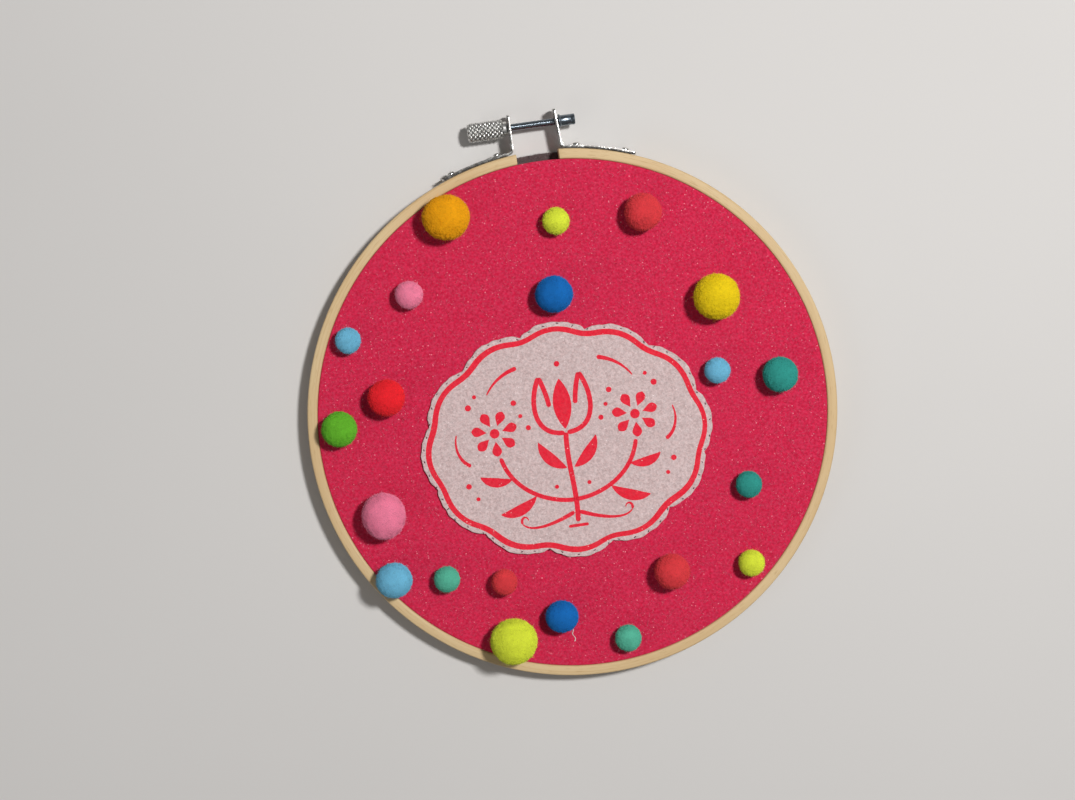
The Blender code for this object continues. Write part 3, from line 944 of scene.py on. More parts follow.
class Nib(Enum):
    """How the width of a printed stroke runs from its start to its end."""

    LINE = "line"
    LEAF = "leaf"
    PETAL = "petal"
    TAPER = "taper"

    def width(self, share: float, cap: float) -> float:
        """The share of the full width at a place along the stroke.

        Args:
            share: How far along it is, from 0 to 1.
            cap: How far a round end narrows it there.

        Returns:
            A share from 0 to 1.
        """
        if self is Nib.LEAF:
            return max(0.0, math.sin(math.pi * share)) ** 0.8
        if self is Nib.PETAL:
            return max(0.0, math.sin(math.pi * share ** 1.7)) ** 0.7
        if self is Nib.TAPER:
            return cap * (1 - 0.7 * share)
        return cap


@dataclass(frozen=True)
class Stroke:
    """One printed mark: a middle line with a half width at each point, in metres from the patch's middle."""

    path: tuple[Vector, ...]
    half_widths: tuple[float, ...]

    @classmethod
    def drawn(cls, nib: Nib, half_width: float, *knots: tuple[float, float], steps: int = 28) -> Stroke:
        """A stroke through millimetre points.

        Args:
            nib: How its width runs.
            half_width: Half its greatest width, in millimetres.
            knots: Two points of a straight line, or the four of a Bezier curve.
            steps: Facets along it, closer together near its ends.

        Returns:
            The stroke.
        """
        start, end = Vector(knots[0]), Vector(knots[-1])
        first = Vector(knots[1]) if len(knots) == 4 else start.lerp(end, 1 / 3)
        last = Vector(knots[2]) if len(knots) == 4 else start.lerp(end, 2 / 3)
        shares = [0.5 - 0.5 * math.cos(math.pi * index / steps) for index in range(steps + 1)]
        path = []
        for share in shares:
            ahead, behind = first.lerp(last, share), start.lerp(first, share)
            path.append(behind.lerp(ahead, share).lerp(ahead.lerp(last.lerp(end, share), share), share))
        length = sum((after - before).length for before, after in zip(path, path[1:]))
        rounding = min(0.5, half_width / length)
        widths = []
        for share in shares:
            inside = min(1.0, min(share, 1 - share) / rounding)
            cap = math.sqrt(max(0.0, 1 - (1 - inside) ** 2))
            widths.append(max(0.02, half_width * nib.width(share, cap)) * MM)
        return cls(tuple(point * MM for point in path), tuple(widths))

    def mirrored(self) -> Stroke:
        """The same stroke on the other side of the patch's middle."""
        return Stroke(tuple(Vector((-point.x, point.y)) for point in self.path), self.half_widths)

    def covers(self, places: np.ndarray) -> np.ndarray:
        """Says which places the stroke's ink covers.

        Args:
            places: (x, y) rows from the patch's middle.

        Returns:
            A truth value for each place.
        """
        path = np.array(self.path)
        spans = np.maximum(((path[1:] - path[:-1]) ** 2).sum(axis=1), 1e-14)
        inside = np.zeros(len(places), dtype=bool)
        for start, step, span, half in zip(path, path[1:] - path[:-1], spans, self.half_widths):
            share = np.clip(((places - start) @ step) / span, 0, 1)
            inside |= np.linalg.norm(places - start - share[:, None] * step, axis=1) < half
        return inside


@dataclass
class Patch:
    """The pale scalloped patch: cut edge, printed sprig, sewing stitches and loose fibres."""

    scallops: int = 12
    notch_width: float = 56.0 * MM
    notch_height: float = 44.0 * MM
    scallop_rise: float = 4.6 * MM
    points_each: int = 30
    thickness: float = 1.2 * MM
    edge_round: float = 0.3 * MM
    edge_steps: int = 3
    contour_inset: float = 3.1 * MM
    contour_half: float = 1.1 * MM
    print_rise: float = 0.05 * MM
    stitch_pitch: float = 5.6 * MM
    stitch_inset: float = 1.1 * MM
    stitch_radius: float = 0.2 * MM
    stitch_dent: float = 0.3 * MM
    dent_reach: float = 0.7 * MM
    fibre_count: int = 9500
    fibre_length: tuple[float, float] = (0.5 * MM, 1.8 * MM)
    fibre_radius: float = 0.035 * MM
    fibre_rise: float = 0.15 * MM
    shares: tuple[float, ...] = (0.985, 0.97, 0.955, 0.94, 0.92, 0.88, 0.8, 0.7, 0.58, 0.46, 0.34, 0.22, 0.1)
    centre: Vector = field(init=False)
    base: float = field(init=False)
    outline: list[Vector] = field(init=False)
    bearings: np.ndarray = field(init=False)
    reaches: np.ndarray = field(init=False)
    stitches: list[tuple[Vector, Vector]] = field(init=False)
    strokes: list[Stroke] = field(init=False)

    def __post_init__(self) -> None:
        """Takes the patch's place from its solid, and works out its outline, stitches and print."""
        low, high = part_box("patch")
        self.centre = Vector(((low.x + high.x) / 2, (low.y + high.y) / 2))
        self.base = low.z - 0.25 * MM
        self.stitches = self.sewn()
        self.outline = self.cut_outline()
        polar = sorted((math.atan2(point.y, point.x), point.length) for point in self.outline)
        self.bearings, self.reaches = np.array(polar).T
        self.strokes = self.sprig() + [self.contour()]

    def scalloped(self) -> list[Vector]:
        """The even scalloped oval, from the patch's middle."""
        skew = 0.5 * (self.notch_width - self.notch_height) / (self.notch_width + self.notch_height)
        notches = []
        for index in range(self.scallops):
            angle = TURN * (index + 0.5) / self.scallops
            angle += skew * math.sin(2 * angle)
            notches.append(Vector((self.notch_width * math.cos(angle), self.notch_height * math.sin(angle))))
        points = []
        for start, end in zip(notches, notches[1:] + notches[:1]):
            chord = end - start
            outward = Vector((chord.y, -chord.x)).normalized()
            for step in range(self.points_each):
                share = step / self.points_each
                rise = self.scallop_rise * math.sin(math.pi * share) ** 0.75
                points.append(start + share * chord + rise * outward)
        return points

    def inset(self, distance: float, smoothing: int) -> list[Vector]:
        """The outline moved inwards and smoothed.

        Args:
            distance: How far, in metres.
            smoothing: How many times its notches are rounded off.

        Returns:
            The new closed line.
        """
        points = self.scalloped()
        count = len(points)
        moved = []
        for index, point in enumerate(points):
            ahead = points[(index + 2) % count] - points[index - 2]
            moved.append(point + Vector((-ahead.y, ahead.x)).normalized() * distance)
        for _ in range(smoothing):
            moved = [
                0.25 * moved[index - 1] + 0.5 * moved[index] + 0.25 * moved[(index + 1) % count]
                for index in range(count)
            ]
        return moved

    def sewn(self) -> list[tuple[Vector, Vector]]:
        """The middle and direction of each small stitch, along a line inside the edge."""
        line = self.inset(self.stitch_inset, 4)
        rng = np.random.default_rng(23)
        stitches = []
        walked = 0.0
        due = 0.5 * self.stitch_pitch
        for start, end in zip(line, line[1:] + line[:1]):
            step = (end - start).length
            if walked + step >= due:
                along = (end - start).normalized()
                drift = Vector((-along.y, along.x)) * rng.uniform(-0.35, 0.35) * MM
                turned = Matrix.Rotation(rng.normal(0, 0.5), 2) @ along
                stitches.append((start + drift, turned))
                due += self.stitch_pitch * rng.uniform(0.75, 1.25)
            walked += step
        return stitches

    def cut_outline(self) -> list[Vector]:
        """The scalloped oval as scissors left it: uneven, and drawn in beside each stitch."""
        points = self.scalloped()
        cut = []
        for index, point in enumerate(points):
            ahead = points[(index + 1) % len(points)] - points[index - 1]
            inward = Vector((-ahead.y, ahead.x)).normalized()
            wander = ripple(point.x, point.y, 130, 2.2)
            jag = ripple(point.x, point.y, 620, 7.7)
            nearest = min((middle - point).length for middle, _ in self.stitches)
            drawn = 0.3 * math.exp(-((nearest / (1.9 * MM)) ** 4))
            cut.append(point + inward * (0.4 * wander + 0.2 * jag + 0.1 + drawn) * MM)
        return cut

    def contour(self) -> Stroke:
        """The printed line that follows the edge, thicker and thinner like a brush."""
        line = self.inset(self.contour_inset, 12)
        line.append(line[0])
        widths = [self.contour_half * (1 + 0.28 * ripple(point.x, point.y, 45, 9.3)) for point in line]
        return Stroke(tuple(line), tuple(widths))

    def sprig(self) -> list[Stroke]:
        """The printed folk sprig: a tulip on a stem, side flowers, leaves, curls and dots."""
        draw = Stroke.drawn
        middle = [
            draw(Nib.LINE, 1.0, (0, -33), (1.5, -20), (-1.5, -8), (0, 3)),
            draw(Nib.LEAF, 3.6, (0, 4.5), (0, 24.5)),
            draw(Nib.LINE, 0.6, (-4, -34.5), (4, -34.5)),
            self.dot(0, 30.5, 1.1),
        ]
        side = [
            draw(Nib.LINE, 0.95, (0.5, 3), (13, 3), (13, 17), (8, 26)),
            draw(Nib.LINE, 0.95, (8, 26), (6.5, 22), (5.5, 18), (5.2, 14)),
            draw(Nib.LINE, 0.85, (0, -24), (10, -24), (24, -18), (27, -3.5)),
            draw(Nib.LEAF, 2.3, (1.5, -11), (6, -9), (10, -5), (11.5, 0.5)),
            draw(Nib.LEAF, 2.2, (15, -20.5), (19, -25), (25, -27), (30, -26)),
            draw(Nib.LEAF, 1.9, (23.5, -12.5), (28, -14), (33, -13), (36, -10)),
            draw(Nib.TAPER, 0.85, (1, -29), (10, -33), (19, -35), (22, -31)),
            draw(Nib.TAPER, 0.6, (22, -31), (23, -28), (19.5, -27.5), (19.5, -30)),
            draw(Nib.TAPER, 0.9, (16, 31), (21, 30), (26, 27), (29, 22)),
            draw(Nib.TAPER, 0.8, (39, -5), (43, -3), (45, 3), (43, 8)),
        ]
        side += self.daisy(28, 6.5, 7)
        side += [self.dot(*row) for row in ((14.5, 7, 1.0), (17, 12, 0.8), (19, 17.5, 1.1), (37, 18, 1.2))]
        side += [self.dot(*row) for row in ((34, 22, 0.8), (41, -13, 1.1), (38, -18.5, 0.8), (6.5, -18, 0.8))]
        return middle + side + [stroke.mirrored() for stroke in side]

    @staticmethod
    def dot(x: float, y: float, radius: float) -> Stroke:
        """A printed dot, in millimetres."""
        return Stroke.drawn(Nib.LINE, radius, (x - radius, y), (x + radius, y))

    def daisy(self, x: float, y: float, petals: int) -> list[Stroke]:
        """A small round flower at a place in millimetres: its heart and its petals."""
        strokes = [self.dot(x, y, 1.9)]
        for index in range(petals):
            angle = TURN * (index + 0.25) / petals
            ends = [(x + reach * math.cos(angle), y + reach * math.sin(angle)) for reach in (3.1, 9.2)]
            strokes.append(Stroke.drawn(Nib.PETAL, 1.9, *ends))
        return strokes

    def height(self, x: float, y: float, dented: bool = True) -> float:
        """The height of the patch's face.

        Args:
            x: Across the hoop.
            y: Up the hoop.
            dented: Whether the pull of the stitches counts.

        Returns:
            The height in the hoop's frame.
        """
        wave = ripple(x, y, 60, 12.5)
        point = Vector((x, y)) - self.centre
        dent = 0.0
        if dented and point.length > 0.86 * self.reach(point):
            nearest = min((middle - point).length for middle, _ in self.stitches)
            dent = self.stitch_dent * math.exp(-((nearest / self.dent_reach) ** 2))
        return self.base + self.thickness + 0.07 * MM * wave - dent

    def reach(self, point: Vector) -> float:
        """How far the patch reaches from its middle towards a point."""
        return float(np.interp(math.atan2(point.y, point.x), self.bearings, self.reaches, period=TURN))

    def covers(self, x: float, y: float, margin: float = 0.8 * MM) -> bool:
        """Whether a place in the hoop's frame lies further than a margin inside the patch."""
        point = Vector((x, y)) - self.centre
        return point.length < self.reach(point) - margin

    def build(self, felt: bpy.types.Material) -> bpy.types.Object:
        """Returns the patch's sheet."""
        bm = bmesh.new()
        order = bm.verts.layers.int.new("order")
        ring = [bm.verts.new((point.x, point.y, self.base)) for point in self.outline]
        for index, vert in enumerate(ring):
            vert[order] = index
        edges = [bm.edges.new(pair) for pair in zip(ring, ring[1:] + ring[:1])]
        bmesh.ops.contextual_create(bm, geom=edges)
        top = self.base + self.thickness
        levels = []
        for out, up in quarter(self.edge_steps):
            levels.append((self.edge_round * (1 - up), 1.0, top - self.edge_round * (1 - out)))
        levels += [(0.0, share, top) for share in self.shares]
        for inward, share, level in levels:
            made = bmesh.ops.extrude_edge_only(bm, edges=edges)["geom"]
            edges = edges_of(made)
            for vert in verts_of(made):
                point = self.outline[vert[order]]
                vert.co.xy = point * (share - inward / point.length)
                vert.co.z = level
        cap = bmesh.ops.contextual_create(bm, geom=edges)["faces"]
        bmesh.ops.poke(bm, faces=cap)
        bmesh.ops.recalc_face_normals(bm, faces=bm.faces)
        bmesh.ops.translate(bm, verts=bm.verts, vec=(self.centre.x, self.centre.y, 0.0))
        for vert in bm.verts:
            if vert.co.z > top - LEVEL_SLACK:
                vert.co.z = self.height(vert.co.x, vert.co.y)
        return place_piece(finished("patch_sheet", bm, felt, 60.0), HOOP_BODY, "patch_felt", "patch")

    def build_print(self, ink: bpy.types.Material) -> bpy.types.Object:
        """Returns the printed marks: thin flat films on the patch's face."""
        bm = bmesh.new()
        for stroke in self.strokes:
            self.pull_stroke(bm, stroke)
        bmesh.ops.remove_doubles(bm, verts=bm.verts, dist=0.001 * MM)
        bmesh.ops.translate(bm, verts=bm.verts, vec=(self.centre.x, self.centre.y, 0.0))
        sunk = 0.03 * MM
        for vert in bm.verts:
            vert.co.z = self.height(vert.co.x, vert.co.y, dented=False) - sunk
        made = bmesh.ops.extrude_face_region(bm, geom=list(bm.faces))["geom"]
        bmesh.ops.translate(bm, verts=verts_of(made), vec=(0.0, 0.0, sunk + self.print_rise))
        bmesh.ops.recalc_face_normals(bm, faces=bm.faces)
        return place_piece(finished("patch_print", bm, ink, 30.0), HOOP_BODY, "patch_felt")

    @staticmethod
    def pull_stroke(bm: bmesh.types.BMesh, stroke: Stroke) -> None:
        """Adds one stroke as a flat ribbon, by pulling an edge along its path."""
        path = stroke.path
        closed = (path[0] - path[-1]).length < 0.001 * MM
        edge = None
        for index, (point, half) in enumerate(zip(path, stroke.half_widths)):
            before = path[index - 1] if index else path[-2 if closed else 0]
            after = path[index + 1] if index + 1 < len(path) else path[1 if closed else -1]
            along = (after - before).normalized()
            side = Vector((-along.y, along.x)) * half
            if edge is None:
                edge = bm.edges.new([bm.verts.new((0.0, 0.0, 0.0)) for _ in range(2)])
            else:
                edge = edges_of(bmesh.ops.extrude_edge_only(bm, edges=[edge])["geom"])[0]
            for vert, place in zip(edge.verts, (point + side, point - side)):
                vert.co.xy = place

    def build_stitches(self, thread: bpy.types.Material) -> bpy.types.Object:
        """Returns the small dark stitches that hold the patch."""
        rng = np.random.default_rng(31)
        bm = bmesh.new()
        for middle, along in self.stitches:
            half = rng.uniform(0.42, 0.68) * MM
            path = []
            for step in range(9):
                share = step / 4 - 1
                point = middle + along * share * half + self.centre
                level = self.base + self.thickness - self.stitch_dent + 0.28 * MM * (1 - 2.2 * share ** 2)
                path.append(Vector((point.x, point.y, level)))
            sweep(bm, path, [self.stitch_radius * rng.uniform(0.85, 1.1)] * len(path), 7)
        bmesh.ops.recalc_face_normals(bm, faces=bm.faces)
        return place_piece(finished("patch_stitches", bm, thread, 60.0), HOOP_BODY, "patch_felt")

    def build_pile(self, material: bpy.types.Material) -> bpy.types.Object:
        """Returns the patch's loose fibres, printed where they cross the ink."""
        rng = np.random.default_rng(17)
        wide, high = self.notch_width + self.scallop_rise, self.notch_height + self.scallop_rise
        spread = rng.uniform(-1, 1, (2 * self.fibre_count, 2)) * (wide, high) + np.array(self.centre)
        places = spread[[self.covers(x, y, 0.1 * MM) for x, y in spread]][:self.fibre_count]
        shape = matted(
            places, self.height, rng, self.fibre_length, self.fibre_radius, self.fibre_rise
        )
        from_middle = places - np.array(self.centre)
        inked = np.zeros(len(places), dtype=bool)
        for stroke in self.strokes:
            inked |= stroke.covers(from_middle)
        fibres = Fibres()
        fibres.lay(*shape, rng.beta(2.0, 2.0, len(places)), inked.astype(float))
        return place_piece(fibres.piece("patch_fibres", material), HOOP_BODY, "patch_felt")

    def declare(self, sheet: bpy.types.Object, *pieces: bpy.types.Object) -> None:
        """Works out twice the area inside the cut outline, and does nothing with it."""
        corners = self.outline
        twice = sum(a.x * b.y - b.x * a.y for a, b in zip(corners, corners[1:] + corners[:1]))


@dataclass(frozen=True)
class Pompom:
    """A clipped wool ball glued to the felt."""

    name: str
    wool: Wool
    stretch: tuple[float, float] = (1.0, 1.0)
    core_depth: float = 0.42 * MM
    # The core's tone is painted shade: the dark deep in the pile, below the cut ends.
    core_shade_tone: float = 0.45
    sink: float = 0.2 * MM
    lumps: float = 0.028
    density: float = 7.0 / MM ** 2
    cone_radius: float = 0.23 * MM
    fuzz_density: float = 1.6 / MM ** 2
    fuzz_length: tuple[float, float] = (0.55 * MM, 1.15 * MM)
    fuzz_radius: float = 0.018 * MM
    squash: float = 0.97

    def build(self, number: int, material: bpy.types.Material) -> bpy.types.Object:
        """Makes the ball: a lumpy core with cut yarn ends all over it.

        Args:
            number: Its place in the list, which sets its lumps.
            material: Its yarn.

        Returns:
            The pompom.
        """
        low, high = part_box("pompom_" + self.name)
        radius = (high.x - low.x) / 2
        centre = Vector(((low.x + high.x) / 2, (low.y + high.y) / 2, high.z - self.squash * radius))
        floor = low.z - self.sink
        core = radius - self.core_depth
        bm = bmesh.new()
        tone = bm.verts.layers.float.new("tone")
        bm.verts.layers.float.new("inked")
        bmesh.ops.create_icosphere(bm, subdivisions=4, radius=1.0)
        # Painted shade: the core takes a dark tone for the shade deep in the pile.
        for vert in bm.verts:
            vert.co *= self.swell(vert.co, number) * core
            vert[tone] = self.core_shade_tone
        bmesh.ops.scale(bm, vec=(*self.stretch, self.squash), verts=bm.verts)
        bmesh.ops.translate(bm, vec=centre, verts=bm.verts)
        for vert in bm.verts:
            vert.co.z = max(vert.co.z, floor)
        rng = np.random.default_rng(100 + number)
        fibres = Fibres()
        fibres.stand(*self.yarn(rng, number, core, np.array(centre), floor))
        fibres.lay(*self.fuzz(rng, number, core, np.array(centre), floor))
        piece = fibres.piece("wool_pompom_" + self.name, material, bm, centre)
        return place_piece(piece, HOOP_BODY, self.wool.slot, "pompom_" + self.name)

    def swell(self, direction: Vector, number: int) -> float:
        """How far the yarn stands out in a direction, as a factor of the radius."""
        waves = math.sin(3.1 * direction.x + 1.3 * number) + math.sin(3.7 * direction.y + 2.1 * number)
        even = 1.0 + self.lumps * (waves + math.sin(4.3 * direction.z + 0.7 * number)) / 3
        tufts = 0.024 * noise.noise(direction * 3.3 + Vector((number, 0, 0)))
        return even + tufts + 0.016 * noise.noise(direction * 7.7 + Vector((0, number, 0)))

    def fuzz(
        self, rng: np.random.Generator, number: int, core: float, centre: np.ndarray, floor: float
    ) -> tuple[np.ndarray, np.ndarray, np.ndarray, np.ndarray, np.ndarray]:
        """The loose hairs that stand out past the clipped ends.

        Args:
            rng: The seeded source of chance.
            number: The ball's place in the list.
            core: The radius that the hairs grow from.
            centre: The ball's middle.
            floor: The felt's height.

        Returns:
            Roots, middles, tips, half widths and tones.
        """
        count = int(2 * TURN * core ** 2 * self.fuzz_density)
        rays = unit_rows(rng.normal(0, 1, (count, 3)))
        swell = np.array([[self.swell(ray, number)] for ray in map(Vector, rays)])
        roots = centre + rays * swell * core * np.array([*self.stretch, self.squash])
        lengths = rng.uniform(*self.fuzz_length, (count, 1))
        lean = rays + rng.normal(0, 0.35, rays.shape)
        middles = roots + 0.5 * lengths * lean
        tips = roots + lengths * (0.85 * lean + rng.normal(0, 0.35, rays.shape))
        keep = np.minimum(middles[:, 2], tips[:, 2]) > floor + 0.1 * MM
        widths = self.fuzz_radius * rng.uniform(0.8, 1.3, count)
        return roots[keep], middles[keep], tips[keep], widths[keep], rng.uniform(0.7, 1.0, count)[keep]

    def yarn(
        self, rng: np.random.Generator, number: int, core: float, centre: np.ndarray, floor: float
    ) -> tuple[np.ndarray, np.ndarray, np.ndarray, np.ndarray]:
        """The cut yarn ends of one ball.

        Args:
            rng: The seeded source of chance.
            number: The ball's place in the list.
            core: The radius that the ends grow from.
            centre: The ball's middle.
            floor: The felt's height.

        Returns:
            Roots, tips, half widths and tones.
        """
        count = int(2 * TURN * core ** 2 * self.density)
        index = np.arange(count) + 0.5
        rise = 1 - 2 * index / count
        turn = index * math.pi * (1 + math.sqrt(5)) + rng.uniform(0, TURN)
        rays = np.column_stack([round_places(np.sqrt(1 - rise ** 2), turn), rise])
        rays = unit_rows(rays + rng.normal(0, 0.12 * MM / core, rays.shape))
        grown = []
        for ray in map(Vector, rays):
            lean = noise.noise_vector(ray * 7.0 + Vector((0.0, number, 0.0)))
            grown.append((self.swell(ray, number), *lean))
        grown = np.array(grown)
        roots = centre + rays * (grown[:, :1] * core - 0.06 * MM) * np.array([*self.stretch, self.squash])
        lengths = self.core_depth * rng.uniform(0.7, 1.25, (count, 1))
        tips = roots + (rays + 0.45 * grown[:, 1:] + rng.normal(0, 0.2, rays.shape)) * lengths
        keep = roots[:, 2] > floor + 0.05 * MM
        tips[:, 2] = np.maximum(tips[:, 2], floor + 0.02 * MM)
        tones = np.clip(rng.normal(0.83, 0.2, count), 0.25, 1.0)
        tones[rng.uniform(0, 1, count) < 0.05] = 0.15
        widths = self.cone_radius * rng.uniform(0.8, 1.2, count)
        return roots[keep], tips[keep], widths[keep], tones[keep]


POMPOMS = (
    Pompom("orange", Wool.ORANGE, (1.03, 0.97)), Pompom("lime_top", Wool.LIME),
    Pompom("coral_top", Wool.CORAL), Pompom("pink_small", Wool.PINK), Pompom("blue_middle", Wool.BLUE),
    Pompom("yellow", Wool.YELLOW, (1.015, 0.985)),
    Pompom("sky_left", Wool.SKY), Pompom("sky_right", Wool.SKY), Pompom("teal_right", Wool.TEAL),
    Pompom("red", Wool.RED), Pompom("green", Wool.GREEN), Pompom("teal_small", Wool.TEAL),
    Pompom("pink_big", Wool.PINK, (0.965, 1.04)), Pompom("sky_low", Wool.SKY), Pompom("mint_left", Wool.MINT),
    Pompom("coral_small", Wool.CORAL), Pompom("coral_low", Wool.CORAL), Pompom("lime_small", Wool.LIME),
    Pompom("lime_big", Wool.LIME), Pompom("blue_low", Wool.BLUE), Pompom("mint_low", Wool.MINT),
)


@dataclass
class Backing:
    """The dark felt disc over the back, seen in the ring's gap and under its rim."""

    points: int = 240
    unevenness: float = 0.35 * MM
    mean_radius: float = 103.5 * MM
    edge_round: float = 0.25 * MM
    fibre_count: int = 5000
    fibre_length: tuple[float, float] = (0.5 * MM, 1.8 * MM)
    fibre_radius: float = 0.04 * MM
    fibre_rise: float = 0.12 * MM
    share_in_gap: float = 0.25
    gap_half_angle: float = 0.09
    gap_depth: float = 3.2

    def radius(self, angle: float) -> float:
        """How far the hand-cut disc reaches in a direction."""
        wander = math.sin(5 * angle + 0.7) + 0.6 * math.sin(9 * angle + 2.1)
        return self.mean_radius + self.unevenness * wander / 1.6

    def build(self, felt: bpy.types.Material) -> bpy.types.Object:
        """Returns the disc."""
        low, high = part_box("backing")
        bm = bmesh.new()
        bmesh.ops.create_circle(bm, segments=self.points, radius=1.0, cap_ends=True)
        for vert in bm.verts:
            angle = math.atan2(vert.co.y, vert.co.x)
            nick = 0.12 * MM * ripple(vert.co.x, vert.co.y, 45, 3.3)
            vert.co *= self.radius(angle) + nick
        bmesh.ops.translate(bm, verts=bm.verts, vec=(0.0, 0.0, low.z))
        made = bmesh.ops.extrude_face_region(bm, geom=list(bm.faces))["geom"]
        bmesh.ops.translate(bm, verts=verts_of(made), vec=(0.0, 0.0, high.z - low.z))
        bmesh.ops.recalc_face_normals(bm, faces=bm.faces)
        rims = [edge for edge in bm.edges if abs(edge.verts[0].co.z - edge.verts[1].co.z) < LEVEL_SLACK]
        bmesh.ops.bevel(
            bm, geom=rims, offset=self.edge_round, offset_type="OFFSET", segments=2, profile=0.5,
            affect="EDGES", material=-1,
        )
        bmesh.ops.poke(bm, faces=[face for face in bm.faces if len(face.verts) > 4])
        return place_piece(finished("backing_disc", bm, felt, 60.0), HOOP_BODY, "backing_felt", "backing")

    def build_pile(self, material: bpy.types.Material) -> bpy.types.Object:
        """Returns the loose fibres of its cut edge and of the part that shows in the gap."""
        low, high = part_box("backing")
        rng = np.random.default_rng(41)
        count = self.fibre_count
        angle = rng.uniform(0, TURN, count)
        in_gap = rng.uniform(0, 1, count) < self.share_in_gap
        spread = rng.uniform(-self.gap_half_angle, self.gap_half_angle, count)
        angle = np.where(in_gap, 0.25 * TURN + spread, angle)
        reach = np.array([self.radius(each) for each in angle])
        reach = np.where(in_gap, reach - rng.uniform(0, self.gap_depth, count) * MM, reach)
        level = np.where(in_gap, high.z, rng.uniform(low.z + 0.15 * MM, high.z, count))
        places = round_places(reach, angle)
        shape = matted(
            places, lambda x, y: 0.0, rng, self.fibre_length, self.fibre_radius, self.fibre_rise
        )
        for part in shape[:3]:
            part[:, 2] = np.clip(part[:, 2] + level, low.z + 0.05 * MM, high.z + 0.2 * MM)
        fibres = Fibres()
        fibres.lay(*shape, rng.beta(1.5, 2.5, count))
        return place_piece(fibres.piece("backing_fibres", material), HOOP_BODY, "backing_felt")

    def declare(self, sheet: bpy.types.Object, pile: bpy.types.Object) -> None:
        """Takes the disc and its fibres, and does nothing with them."""


class Side(Enum):
    """The two sides of the opening: the sign along X, and the ear's lean towards the gap in degrees."""

    LEFT = (-1.0, 0.0)
    RIGHT = (1.0, 4.0)

    @property
    def label(self) -> str:
        """The side's name in lower case."""
        return self.name.lower()


